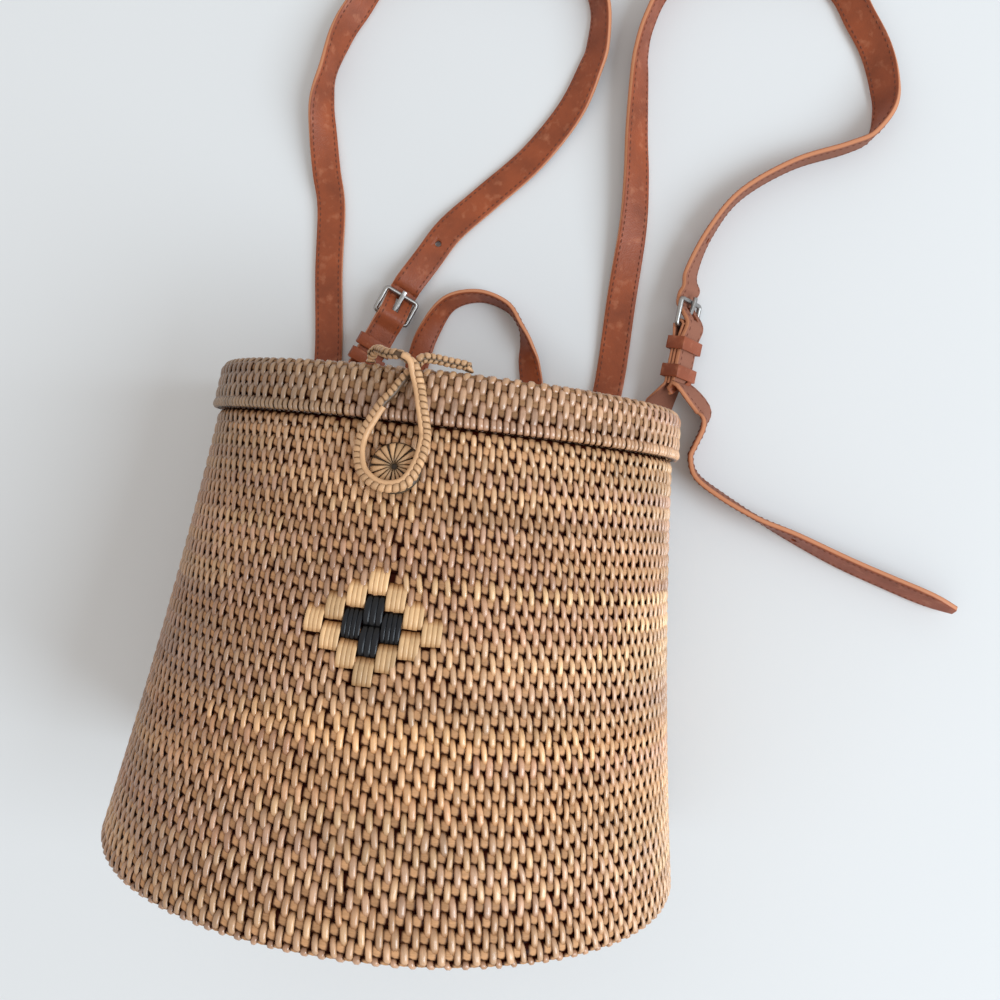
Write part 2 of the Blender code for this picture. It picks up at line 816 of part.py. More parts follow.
def punch(strap, stack, before_buckle, parent, leather):
    """The slot that the prong passes through, and spare holes along the strap before the buckle."""
    name = stack.name
    half = prong_width / 2 + prong_slot_clearance
    length = prong_slot_length / 2
    depth = 3 * strap_thickness
    slot = box((-half, -length, -depth), (half, length, depth))
    middle = Vector((0.0, buckle_reach * prong_slot_back_share, 0.0))
    bmesh.ops.transform(slot, matrix=stack.place(0.0) @ Matrix.Translation(middle), verts=slot.verts)
    combine(strap, add_object(f"prong_slot_{name}", slot, leather, parent), "prong_slot")
    length = 0.0
    made = 0
    for i in range(len(before_buckle) - 2, 0, -1):
        length += (before_buckle[i][0] - before_buckle[i + 1][0]).length
        if made == spare_punches or length < (made + 1) * punch_pitch:
            continue
        point, _, normal = before_buckle[i]
        reach = normal * 2 * strap_thickness
        drill = rod(point - reach, point + reach, punch_radius, 10)
        combine(strap, add_object(f"punch_drill_{name}_{made}", drill, leather, parent), f"punch_{made}")
        made += 1


def build_handle(parent, leather):
    """The short carrying handle: both feet riveted to the back, its arch lying past the lid."""
    layer = -fit_gap - handle_thickness / 2
    low = rivet_height - strip_end_margin
    foot = handle_foot
    route = [(Vector((-foot, y, layer)), 0.0) for y in (low, rivet_height, rim_height)]
    for shares in handle_arch_shares:
        route.append(lying(*shares, handle_width, handle_thickness, foot, handle_arch))
    route += [(Vector((foot, y, layer)), 0.0) for y in (rim_height, rivet_height, low)]
    stations = stations_of(route, 4)
    thicknesses = [handle_thickness] * len(stations)
    return add_object("carry_handle", strip(stations, handle_width, thicknesses), leather, parent)


def build_rivet(name, x, y, leather_thickness, targets, parent, brass):
    """A set rivet: head under the leather, shank through leather and wall, head in the basket."""
    start = (x, y, 0.0)
    outer = -leather_thickness - 2 * fit_gap
    inner = wall_thickness + fit_gap
    crown_share = 0.7
    profile = [
        (0.0, outer - rivet_head_thickness),
        (rivet_head_radius * crown_share, outer - rivet_head_thickness),
        (rivet_head_radius, outer),
        (rivet_shank_radius, outer),
        (rivet_shank_radius, inner),
        (rivet_head_radius, inner),
        (rivet_head_radius, inner + rivet_head_thickness),
        (0.0, inner + rivet_head_thickness),
    ]
    add_object(f"rivet_{name}", turned_solid(profile, start, (0.0, 0.0, 1.0)), brass, parent, start)
    for target in targets:
        drill = rod((x, y, -cut_overrun), (x, y, cut_overrun), rivet_shank_radius + fit_gap)
        drill = add_object(f"rivet_drill_{name}_{target.name}", drill, brass, parent)
        combine(target, drill, f"rivet_{name}")


def main():
    clear_scene()
    basket = bpy.data.objects.new("pack_basket", None)
    basket.location = (0.0, -basket_height / 2, 0.0)
    bpy.context.collection.objects.link(basket)
    reed = material("honey_reed", REED, 0.55)
    leather = material("tan_leather", LEATHER, 0.5)
    steel = material("buckle_steel", (0.45, 0.45, 0.46), 0.28, 1.0)
    brass = material("rivet_brass", (0.62, 0.46, 0.22), 0.35, 1.0)

    wall = build_body(basket, reed)
    lid_top = build_lid(basket, reed)
    build_lashings(basket, reed, wall, lid_top)
    build_closure(basket, reed, wall)
    handle = build_handle(basket, leather)
    for name, x in (("left", -handle_foot), ("right", handle_foot)):
        build_rivet(f"handle_{name}", x, rivet_height, handle_thickness, (wall, handle), basket, brass)
    for name, foot, rivet_x, tail in (
        ("left", left_anchor_foot, left_strap_rivet, ()),
        ("right", right_anchor_foot, right_strap_rivet, right_tail_shares),
    ):
        stack = Stack(name)
        anchor = build_anchor(stack, foot, basket, leather)
        build_buckle(stack, basket, steel, anchor)
        build_keepers(stack, basket, leather)
        strap = build_strap(stack, rivet_x, tail, basket, leather)
        build_rivet(f"strap_{name}", rivet_x, rivet_height, strap_thickness, (wall, strap), basket, brass)
        build_rivet(f"anchor_{name}", foot, anchor_rivet_height, anchor_thickness, (wall, anchor), basket, brass)


main()
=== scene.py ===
"""Pack basket of bound reed coils with leather straps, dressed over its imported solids.

The basket lies on its back. +X is its side to side, +Y runs from its base to its lid and +Z is
out of its front. The origin is the middle of its flat back. Lengths are in metres.
"""

import math

import bmesh
import bpy
import numpy as np
from mathutils import Matrix, Vector


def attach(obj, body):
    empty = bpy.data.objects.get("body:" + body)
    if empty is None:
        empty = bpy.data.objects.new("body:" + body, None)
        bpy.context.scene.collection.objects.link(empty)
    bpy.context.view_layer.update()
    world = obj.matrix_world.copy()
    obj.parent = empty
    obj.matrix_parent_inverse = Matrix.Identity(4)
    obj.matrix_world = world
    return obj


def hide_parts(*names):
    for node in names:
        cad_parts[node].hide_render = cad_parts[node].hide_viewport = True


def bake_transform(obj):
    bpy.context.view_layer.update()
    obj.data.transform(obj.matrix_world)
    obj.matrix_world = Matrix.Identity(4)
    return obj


bl_info = {
    "name": "Pack Basket",
    "version": (1, 0, 0),
    "blender": (4, 5, 0),
    "location": "3D View > Sidebar > Pack Basket",
    "description": "Weaves the reed basket and cuts its leather straps round the packed model",
    "category": "Add Mesh",
}

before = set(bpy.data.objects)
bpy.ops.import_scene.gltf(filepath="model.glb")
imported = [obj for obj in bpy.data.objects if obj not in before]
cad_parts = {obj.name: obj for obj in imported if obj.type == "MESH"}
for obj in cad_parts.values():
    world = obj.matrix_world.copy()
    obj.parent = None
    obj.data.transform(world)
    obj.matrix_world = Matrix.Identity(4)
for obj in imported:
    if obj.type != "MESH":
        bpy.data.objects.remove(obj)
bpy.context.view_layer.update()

# The body's own sizes, which the solids have too
BASKET_HEIGHT = 0.208
BASE_Y = -BASKET_HEIGHT / 2
BASE_WIDTH = 0.252
BASE_DEPTH = 0.190
TOP_WIDTH = 0.208
TOP_DEPTH = 0.137
WAIST_DRAW = 0.005
SIDE_STRAIGHT_SHARE = 0.38
CORNER_RADIUS = 0.018
EDGE_RADIUS = 0.0035
RIM_HEIGHT = 0.1865
RISER_TOP = 0.2032
RISER_END = 0.0255
BAND_LOW = 0.1868
BAND_END = 0.0305
LID_OVERHANG = 0.003
LID_EDGE_RADIUS = 0.0040
FIT_GAP = 0.0003
SAMPLES = 720

FLOOR_DROP = 0.0041
STRAP_SPREAD = 0.100
STRAP_REACH = 0.245
STRAP_THICKNESS = 0.0025
STRAP_TIP = 0.010
TAIL_LIFT = 0.0016
ANCHOR_THICKNESS = 0.0018
HANDLE_WIDTH = 0.012
HANDLE_THICKNESS = 0.0022
HANDLE_ARCH = 0.056
HANDLE_FOOT = 0.033
RIVET_HEIGHT = 0.166
ANCHOR_RIVET_HEIGHT = 0.030
END_MARGIN = 0.008
BUCKLE_WIRE = 0.0012
BUCKLE_OPENING = 0.017
BUCKLE_REACH = 0.013
BUCKLE_CORNER = 0.0014
PRONG_WIDTH = 0.0022
PRONG_THICKNESS = 0.0014
KEEPER_LENGTH = 0.0064
KEEPER_WALL = 0.0012
KEEPER_CLEARANCE = 0.0005
FOLD_RADIUS = BUCKLE_WIRE + FIT_GAP + ANCHOR_THICKNESS
TAIL_OFFSET = ANCHOR_THICKNESS + FIT_GAP + STRAP_THICKNESS / 2

BUCKLES = {
    "left": {"bar": (-0.47, 0.160), "heading": 24, "roll": 24, "keepers": (-2.62, -3.95), "face": 1},
    "right": {"bar": (1.055, 0.193), "heading": 5, "roll": 58, "keepers": (-1.42, -3.60), "face": -1},
}
STRAP_RIVETS = {"left": -0.082, "right": 0.066}
ANCHOR_FEET = {"left": -0.066, "right": 0.082}

# Where each strap lies past the lid: shares of the spread and of the reach, then its roll in degrees
STRAP_ROUTES = {
    "left": (
        (-0.8, 0.06, 0), (-0.85, 0.25, 0), (-0.874, 0.388, 4), (-0.919, 0.466, 14), (-0.952, 0.538, 30),
        (-0.975, 0.61, 52), (-0.957, 0.682, 78), (-0.904, 0.762, 60), (-0.837, 0.817, 52),
        (-0.696, 0.909, 66),
        (-0.479, 0.968, 78), (-0.183, 0.983, 84), (0.112, 0.968, 80), (0.329, 0.919, 66),
        (0.436, 0.851, 54),
        (0.45, 0.769, 40), (0.425, 0.721, 30), (0.343, 0.63, 14), (0.173, 0.527, 6), (-0.038, 0.439, 0),
        (-0.215, 0.363, -6), (-0.313, 0.297, -14),
    ),
    "right": (
        (0.705, 0.07, 0), (0.718, 0.25, 8), (0.734, 0.395, 26), (0.722, 0.498, 38), (0.698, 0.59, 48),
        (0.678, 0.708, 60), (0.674, 0.756, 70), (0.693, 0.815, 78), (0.762, 0.889, 82), (0.92, 0.958, 80),
        (1.147, 0.983, 72), (1.393, 0.959, 60), (1.612, 0.913, 40), (1.733, 0.847, 24), (1.823, 0.788, 22),
        (1.875, 0.726, 34), (1.892, 0.669, 56), (1.846, 0.613, 84), (1.728, 0.584, 88), (1.482, 0.544, 88),
        (1.245, 0.475, 90), (1.117, 0.392, 96), (1.053, 0.313, 108),
    ),
}
TAIL_ROUTE = (
    (1.189, 0.032, 120), (1.199, -0.006, 90), (1.168, -0.046, 90), (1.156, -0.07, 92), (1.196, -0.106, 97),
    (1.324, -0.139, 98), (1.511, -0.176, 92), (1.708, -0.207, 76), (1.945, -0.244, 68), (2.191, -0.276, 66),
    (2.497, -0.313, 64),
)
HANDLE_ROUTE = (
    (-0.98, 0.1, 6), (-0.922, 0.335, 14), (-0.81, 0.589, 34), (-0.522, 0.881, 62), (-0.046, 0.979, 74),
    (0.409, 0.91, 78), (0.646, 0.762, 84), (0.783, 0.585, 60), (0.872, 0.373, 20), (0.96, 0.1, 4),
)
LOOP_RISE = ((-1.36, 0.35, 0.5), (-1.12, 0.75, 1.2))
LOOP_FALL = ((0.76, 0.80, 0.5), (1.12, 0.45, 0.35), (1.52, 0.15, 0.2))
LOOP_FRONT = (
    (-0.62, -0.062, 1.9), (-0.10, -0.052, 2.9), (0.25, 0.015, 2.35), (0.49, 0.166, 0.9), (0.70, 0.343, 0.7),
    (0.87, 0.520, 1.15), (0.92, 0.606, 1.45), (0.86, 0.775, 1.85), (0.60, 0.930, 2.1), (0.12, 0.986, 1.95),
    (-0.38, 0.968, 1.8), (-0.84, 0.882, 1.45), (-1.06, 0.745, 0.8), (-1.05, 0.608, 0.7),
    (-0.81, 0.463, 1.15),
    (-0.57, 0.343, 0.1), (-0.28, 0.240, 0.0), (-0.14, 0.170, 0.0), (0.04, 0.097, 0.0), (0.25, 0.020, 0.0),
    (0.42, -0.055, 0.0),
)
LOOP_HALF = 0.0122
LOOP_ROOTS = (-1.40, 1.78)
LOOP_LENGTH = 0.0475
LOOP_ROOT_BACK = 0.007
ROPE_RADIUS = 0.0021
BUTTON_PLACE = (0.0012, 0.1679)
BUTTON_RADIUS = 0.0108
PETALS = 17
WRAP_PITCH = 0.0025
LASHING_PLACES = {"left": -0.046, "right": 0.046}

# How the reed is laid
GOLDEN_STEP = 0.6180339887
STITCH_JITTER = 0.05
LINING_TONE = 0.9
# How much redder the stitches' painted shade turns as it deepens, in red, green and blue
SHADE_POWERS = (1.0, 1.42, 1.9)
LID_COLUMNS = 118
LID_PITCH = 0.0049
COLLAR_COLUMNS = 168

# The straps' sewing and holes
THREAD_RADIUS = 0.00036
HOLE_BACK = 0.024
TAIL_HOLES = (0.084, 0.137)
SLOT_CLEARANCE = 0.0006

# The stage
FLOOR_SIZE = 3.0
FLOOR_LEVEL = -0.0045
LAMP_PLACE = (2.75, -0.45, 2.10)
LAMP_AIM = (0.03, 0.0, 0.05)
LAMP_SIZE = 2.2
LAMP_POWER = 116.0
LAMP_COLOUR = (0.80, 0.91, 1.0)
WORLD_COLOUR = (1.0, 0.955, 0.915)
WORLD_STRENGTHS = (0.74, 0.85)
CAMERA_LENS = 35.755
CAMERA_PLACE = (0.0918, 0.0623, 0.5116)
CAMERA_AXES = (
    (0.9838886, 0.1149176, -0.1369571),
    (-0.1158426, 0.9932668, 0.0012236),
    (0.1361756, 0.0146616, 0.9905762),
)


def linear(red, green, blue):
    """A colour that is given as it looks on a screen, from 0 to 255, as light."""
    out = []
    for value in (red, green, blue):
        value /= 255
        out.append(value / 12.92 if value <= 0.04045 else ((value + 0.055) / 1.055) ** 2.4)
    return tuple(out)


# Settings


class PackBasketSizes(bpy.types.PropertyGroup):
    row_pitch: bpy.props.FloatProperty(
        name="Row pitch", description="Height of one coil", default=0.00504, unit="LENGTH", precision=5
    )
    columns: bpy.props.IntProperty(
        name="Stitches round", description="Stitches in each row", default=122, min=24
    )
    reed_width: bpy.props.FloatProperty(
        name="Reed width", description="Width of a binding reed",
        default=0.00235, unit="LENGTH", precision=5,
    )
    reed_thickness: bpy.props.FloatProperty(
        name="Reed thickness", description="Thickness of a binding reed",
        default=0.0013, unit="LENGTH", precision=5,
    )
    stitch_length: bpy.props.FloatProperty(
        name="Stitch length", description="Length of a stitch that shows",
        default=0.0083, unit="LENGTH", precision=5,
    )
    strap_width: bpy.props.FloatProperty(
        name="Strap width", description="Width of the shoulder straps",
        default=0.015, unit="LENGTH", precision=4,
    )
    thread_pitch: bpy.props.FloatProperty(
        name="Thread pitch", description="Distance between sewn stitches",
        default=0.0031, unit="LENGTH", precision=4,
    )


class PackBasketColours(bpy.types.PropertyGroup):
    honey: bpy.props.FloatVectorProperty(
        name="Honey reed", description="The body's reed", default=linear(206, 165, 126), subtype="COLOR"
    )
    golden: bpy.props.FloatVectorProperty(
        name="Golden reed", description="Its yellower lengths",
        default=linear(218, 178, 130), subtype="COLOR",
    )
    mauve: bpy.props.FloatVectorProperty(
        name="Pinkish reed", description="Its pinker lengths",
        default=linear(196, 154, 128), subtype="COLOR",
    )
    brown: bpy.props.FloatVectorProperty(
        name="Brown reed", description="Its darker lengths",
        default=linear(168, 122, 86), subtype="COLOR",
    )
    pale: bpy.props.FloatVectorProperty(
        name="Pale reed", description="The diamond and the loop",
        default=linear(222, 184, 138), subtype="COLOR",
    )
    black: bpy.props.FloatVectorProperty(
        name="Black reed", description="The cross in the diamond",
        default=linear(18, 20, 25), subtype="COLOR",
    )
    coil: bpy.props.FloatVectorProperty(
        name="Coil", description="The rods under the stitches",
        default=linear(192, 146, 106), subtype="COLOR",
    )
    # Painted shade: the colour painted into the gaps between the coils and beside the stitches; it also
    # gives some rods a darker tone at random
    shade: bpy.props.FloatVectorProperty(
        name="Gap", description="Painted shade between the coils", default=linear(40, 8, 1), subtype="COLOR"
    )
    grain: bpy.props.FloatVectorProperty(
        name="Leather grain", description="The straps' outer face",
        default=linear(150, 75, 43), subtype="COLOR",
    )
    reverse: bpy.props.FloatVectorProperty(
        name="Leather reverse", description="The straps' rough face",
        default=linear(150, 96, 76), subtype="COLOR",
    )
    edge: bpy.props.FloatVectorProperty(
        name="Leather edge", description="The straps' cut edge",
        default=linear(196, 132, 96), subtype="COLOR",
    )
    thread: bpy.props.FloatVectorProperty(
        name="Thread", description="The straps' sewing", default=linear(104, 52, 32), subtype="COLOR"
    )
    floor: bpy.props.FloatVectorProperty(
        name="Floor", description="The surface it lies on",
        default=linear(216, 219, 221), subtype="COLOR",
    )


# Meshes


MARK_FIELDS = {"FLOAT_COLOR": "color", "FLOAT_VECTOR": "vector", "FLOAT": "value"}


def add_piece(name, mesh, look, body, nodes=()):
    """Shows a mesh in a finish, as a piece that rides on a body and stands for the named solids."""
    obj = bpy.data.objects.new(name, mesh)
    bpy.context.scene.collection.objects.link(obj)
    mesh.materials.clear()
    mesh.materials.append(finish(look))
    mesh.shade_smooth()
    if body:
        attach(obj, body)
    if nodes:
        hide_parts(*nodes)
    return obj


def mesh_from(bm, name):
    """Keeps what was built as a new mesh."""
    mesh = bpy.data.meshes.new(name)
    bm.to_mesh(mesh)
    bm.free()
    return mesh


def set_marks(mesh, marks):
    """Writes named values on a mesh's points. marks: each name's kind, and its values row by row."""
    for name, (kind, values) in marks.items():
        attribute = mesh.attributes.new(name, kind, "POINT")
        values = np.asarray(values, np.float32)
        if kind == "FLOAT_COLOR":
            values = np.concatenate([values, np.ones((len(values), 1), np.float32)], axis=1)
        attribute.data.foreach_set(MARK_FIELDS[kind], values.ravel())


def reed_marks(tint, fibre):
    return {"tint": ("FLOAT_COLOR", tint), "fibre": ("FLOAT_VECTOR", fibre)}


def leather_marks(lay, side, edge):
    return {"lay": ("FLOAT_VECTOR", lay), "side": ("FLOAT", side), "edge": ("FLOAT", edge)}


def points_of(mesh):
    values = np.empty(len(mesh.vertices) * 3)
    mesh.vertices.foreach_get("co", values)
    return values.reshape(-1, 3)


def wrapped(name, columns, rows, shape, caps=False):
    """A grid of faces bent into shape. shape takes two shares, from 0 to 1, and gives points and marks."""
    bm = bmesh.new()
    bmesh.ops.create_grid(bm, x_segments=columns, y_segments=rows, size=0.5)
    mesh = mesh_from(bm, name)
    shares = points_of(mesh) + 0.5
    points, marks = shape(shares[:, 0], shares[:, 1])
    set_marks(mesh, marks)
    mesh.vertices.foreach_set("co", np.asarray(points, np.float32).ravel())
    bm = bmesh.new()
    bm.from_mesh(mesh)
    bmesh.ops.remove_doubles(bm, verts=bm.verts, dist=0.000004)
    if caps:
        bmesh.ops.holes_fill(bm, edges=[edge for edge in bm.edges if edge.is_boundary], sides=0)
    bmesh.ops.recalc_face_normals(bm, faces=bm.faces)
    bm.to_mesh(mesh)
    bm.free()
    return mesh


def unit_reed(sides, lengths, end=0.55):
    """One length of reed: x is its width, y its length and z its height, each from -0.5 to 0.5."""
    bm = bmesh.new()
    turn = Matrix.Rotation(-math.pi / 2, 4, "X") @ Matrix.Rotation(math.pi / sides, 4, "Z")
    bmesh.ops.create_cone(
        bm, cap_ends=True, segments=sides, radius1=0.5, radius2=0.5, depth=1.0, matrix=turn
    )
    long_edges = [edge for edge in bm.edges if abs(edge.verts[0].co.y - edge.verts[1].co.y) > 0.5]
    bmesh.ops.subdivide_edges(bm, edges=long_edges, cuts=lengths - 1, use_grid_fill=True)
    high = max(vert.co.z for vert in bm.verts)
    for vert in bm.verts:
        vert.co.z *= 0.5 / high
        if abs(vert.co.y) > 0.49:
            vert.co.x *= end
            vert.co.z *= end
    bmesh.ops.recalc_face_normals(bm, faces=bm.faces)
    return mesh_from(bm, "unit_reed")


def repeated(name, unit, count, shape):
    """Copies of a unit mesh, each bent by shape, which takes the unit's points and each copy's number."""
    bm = bmesh.new()
    for _ in range(count):
        bm.from_mesh(unit)
    mesh = mesh_from(bm, name)
    one = points_of(unit)
    which = np.repeat(np.arange(count), len(one))
    points, marks = shape(np.tile(one, (count, 1)), which)
    set_marks(mesh, marks)
    mesh.vertices.foreach_set("co", np.asarray(points, np.float32).ravel())
    mesh.update()
    return mesh


def run_along(points):
    """How far along a line each of its points lies."""
    return np.concatenate([[0.0], np.cumsum(np.linalg.norm(np.diff(points, axis=0), axis=1))])


def read_at(places, run, values):
    """Rows of three values, read between those that lie at the lengths in run."""
    return np.stack([np.interp(places, run, values[:, k]) for k in range(3)], axis=1)


# The basket's surfaces


def outer_size(height):
    """Width and depth of the woven body at one height."""
    share = min(max(height / BASKET_HEIGHT, 0.0), 1.0)
    waist = WAIST_DRAW * 4 * share * (1 - share)
    width = BASE_WIDTH + (TOP_WIDTH - BASE_WIDTH) * share - waist
    return width, BASE_DEPTH + (TOP_DEPTH - BASE_DEPTH) * share


def outline(height, overhang=0.0):
    """Places (x, z) at even shares round the D-shaped section, from the middle of its back towards +X."""
    width, depth = outer_size(height)
    half = width / 2 + overhang
    straight = SIDE_STRAIGHT_SHARE * depth
    front = depth - straight + overhang
    radius = CORNER_RADIUS + overhang
    corner = np.linspace(-math.pi / 2, 0, 24)
    right = [np.stack([half - radius + radius * np.cos(corner), radius + radius * np.sin(corner)], axis=1)]
    sweep = np.linspace(0, math.pi / 2, 160)
    right.append(np.stack([half * np.cos(sweep), straight + front * np.sin(sweep)], axis=1))
    right = np.concatenate(right)
    left = right[::-1] * (-1, 1)
    loop = np.concatenate([[(0.0, 0.0)], right, left[1:], [(0.0, 0.0)]])
    run = np.concatenate([[0.0], np.cumsum(np.hypot(*np.diff(loop, axis=0).T))])
    share = np.arange(SAMPLES) / SAMPLES * run[-1]
    return np.stack([np.interp(share, run, loop[:, 0]), np.interp(share, run, loop[:, 1])], axis=1)


def drawn_in(loop, inset):
    """The same places moved towards the section's middle line, and how far that line is."""
    half, depth = loop[:, 0].max(), loop[:, 1].max()
    reach = depth / 2
    middle = np.stack([np.clip(loop[:, 0], reach - half, half - reach), np.full(len(loop), reach)], axis=1)
    return loop + (middle - loop) * min(inset / reach, 1.0), reach


class Wall:
    """A woven surface, read at a share round it, a length up it and a height off it."""

    def __init__(self, profile, overhang=0.0):
        """profile: rows of (length up it, height of the section, inset of the section)."""
        rings = []
        for _, height, inset in profile:
            loop, _ = drawn_in(outline(height, overhang), inset)
            rings.append(np.stack([loop[:, 0], np.full(len(loop), BASE_Y + height), loop[:, 1]], axis=1))
        self.places = np.array([row[0] for row in profile])
        self.points = np.stack(rings)
        up = np.gradient(self.points, self.places, axis=0)
        round_it = np.roll(self.points, -1, axis=1) - np.roll(self.points, 1, axis=1)
        normals = np.cross(up, round_it)
        self.normals = normals / np.maximum(np.linalg.norm(normals, axis=2, keepdims=True), 1e-12)
        steps = np.roll(self.points, -1, axis=1) - self.points
        self.lengths = np.linalg.norm(steps, axis=2).sum(axis=1)

    def length(self, along):
        return np.interp(along, self.places, self.lengths)

    def at(self, around, along, off):
        column = (np.asarray(around) % 1.0) * SAMPLES
        i = np.floor(column).astype(int) % SAMPLES
        f = (column - np.floor(column))[:, None]
        j = (i + 1) % SAMPLES
        row = np.interp(along, self.places, np.arange(len(self.places)))
        k = np.clip(np.floor(row).astype(int), 0, len(self.places) - 2)
        g = (row - k)[:, None]
        out = []
        for grid in (self.points, self.normals):
            low = grid[k, i] * (1 - f) + grid[k, j] * f
            high = grid[k + 1, i] * (1 - f) + grid[k + 1, j] * f
            out.append(low * (1 - g) + high * g)
        return out[0] + out[1] * np.asarray(off)[:, None]


def body_profile():
    """From near the middle of the base, round its edge and up the wall. Length 0 is the base's edge."""
    rows = []
    turn = EDGE_RADIUS * math.pi / 2
    reach = BASE_DEPTH / 2
    for inset in np.linspace(reach * 0.985, EDGE_RADIUS, 28):
        rows.append((EDGE_RADIUS - inset - turn, 0.0, inset))
    for step in range(1, 5):
        angle = math.pi / 2 * step / 4
        height = EDGE_RADIUS * (1 - math.cos(angle))
        rows.append((EDGE_RADIUS * angle - turn, height, EDGE_RADIUS * (1 - math.sin(angle))))
    for height in np.linspace(EDGE_RADIUS, RISER_TOP + 0.002, 60)[1:]:
        rows.append((height - EDGE_RADIUS, height, 0.0))
    return rows


def lid_profile():
    """Up the lid's band, over its edge and in to the middle of its top. Length 0 is its hem."""
    rows = []
    shoulder = BASKET_HEIGHT - LID_EDGE_RADIUS
    for height in np.linspace(BAND_LOW, shoulder, 14):
        rows.append((height - BAND_LOW, height, 0.0))
    start = rows[-1][0]
    for step in range(1, 6):
        angle = math.pi / 2 * step / 5
        height = shoulder + LID_EDGE_RADIUS * math.sin(angle)
        rows.append((start + LID_EDGE_RADIUS * angle, height, LID_EDGE_RADIUS * (1 - math.cos(angle))))
    start = rows[-1][0]
    reach = (TOP_DEPTH + LID_OVERHANG) / 2
    for inset in np.linspace(LID_EDGE_RADIUS, reach * 0.985, 22)[1:]:
        rows.append((start + inset - LID_EDGE_RADIUS, BASKET_HEIGHT, inset))
    return rows


BODY = Wall(body_profile())
LID = Wall(lid_profile(), LID_OVERHANG)
BODY_LOW = -EDGE_RADIUS * math.pi / 2
BODY_RIM = RIM_HEIGHT - EDGE_RADIUS
LID_TURN = BASKET_HEIGHT - LID_EDGE_RADIUS - BAND_LOW


def shares_where(wall, along, keep):
    """Lowest and highest share of the section's right half where keep(x, z) holds."""
    around = np.linspace(0.0, 0.5, 800)
    points = wall.at(around, np.full(800, along), np.zeros(800))
    found = around[keep(points[:, 0], points[:, 2])]
    return found.min(), found.max()


def front_surface(x, height):
    """How far out the basket's front is at a place, on the lid's band or on the body under it."""
    out = LID_OVERHANG if height > RIM_HEIGHT else 0.0
    width, depth = outer_size(height)
    straight = SIDE_STRAIGHT_SHARE * depth
    share = x / (width / 2 + out)
    return straight + (depth - straight + out) * math.sqrt(1 - share * share)


def share_round(wall, along, x):
    """The share round a wall's front at which it is at x."""
    around = np.linspace(0.30, 0.70, 1601)
    points = wall.at(around, np.full(1601, along), np.zeros(1601))
    return np.interp(-x, -points[:, 0], around)


# Reed


class Spots:
    """Places for stitches on one wall, gathered row by row."""

    def __init__(self):
        self.rows = []

    def add(self, around, along, width, length, lean, lift, tint):
        """Adds a row of stitches. A value is one number for the row or one for each stitch."""
        values = (around, along, width, length, lean, lift)
        spread = [np.broadcast_to(np.asarray(value, float), (len(around),)) for value in values]
        self.rows.append((*spread, np.asarray(tint)))

    def columns(self):
        return [np.concatenate(column) for column in zip(*self.rows)]


def reed_lengths(count, rng, palette):
    """Colours of a row's stitches: each length of reed runs over some of them, then a new one starts."""
    out = np.empty((count, 3))
    i = 0
    while i < count:
        run = int(rng.integers(7, 34))
        weights = rng.dirichlet(np.full(len(palette), 0.55))
        out[i : i + run] = weights @ palette * rng.normal(1.0, 0.07)
        i += run
    return np.clip(out * rng.normal(1.0, 0.07, (count, 1)), 0.004, 0.95)


def even_shares(count, phase, rng=None, jitter=0.0):
    """Even shares round a wall, or nearly even ones. jitter is a share of their step."""
    around = (np.arange(count) + phase) / count
    return around + rng.normal(0, jitter / count, count) if rng else around


def columns_at(wall, along, step, least):
    """How many stitches of one step fit round a wall."""
    return max(least, int(round(wall.length(along) / step)))


def painted_light_share(around):
    """The share of painted light round a section: 0 at its left, in painted shade, 1 at its right, where
    the light falls.
    """
    return np.sin(around * 2 * math.pi) * 0.5 + 0.5


def lay_stitches(
    name, wall, spots, unit, thickness, sink_low=0.0007, sink_high=0.0019, inside=False
):
    """Binds a wall with one reed stitch at each spot. Inside stitches face the other way."""
    around, along, width, length, lean, lift, tint = spots.columns()
    spin = -1.0 if inside else 1.0
    perimeter = wall.length(along)
    seed = (np.arange(len(around)) * GOLDEN_STEP) % 1.0

    def shape(unit_points, which):
        a, b, c = unit_points.T
        arc = np.where(b < 0, -sink_low * np.abs(2 * b) ** 2.2, -sink_high * np.abs(2 * b) ** 1.7)
        up = along[which] + b * length[which]
        side = (spin * a * width[which] + lean[which] * b * length[which]) / perimeter[which]
        off = lift[which] + spin * (arc + c * thickness)
        points = wall.at(around[which] + side, up, off)
        # Painted shade: each stitch darker at its upper end, where it tucks under the row above, a little
        # at its lower end, and much darker on its underside
        dark = 1.0 - 0.62 * np.clip((b - 0.20) / 0.30, 0, 1) - 0.30 * np.clip((-b - 0.30) / 0.20, 0, 1)
        dark *= np.where(c < -0.1, 0.22, 1.0)
        dark = dark[:, None] ** np.array(SHADE_POWERS)
        own = seed[which]
        fibre = np.stack([a * width[which] + own, b * length[which] + own * 7, own], axis=1)
        return points, reed_marks(tint[which] * dark, fibre)

    return repeated(name, unit, len(around), shape)


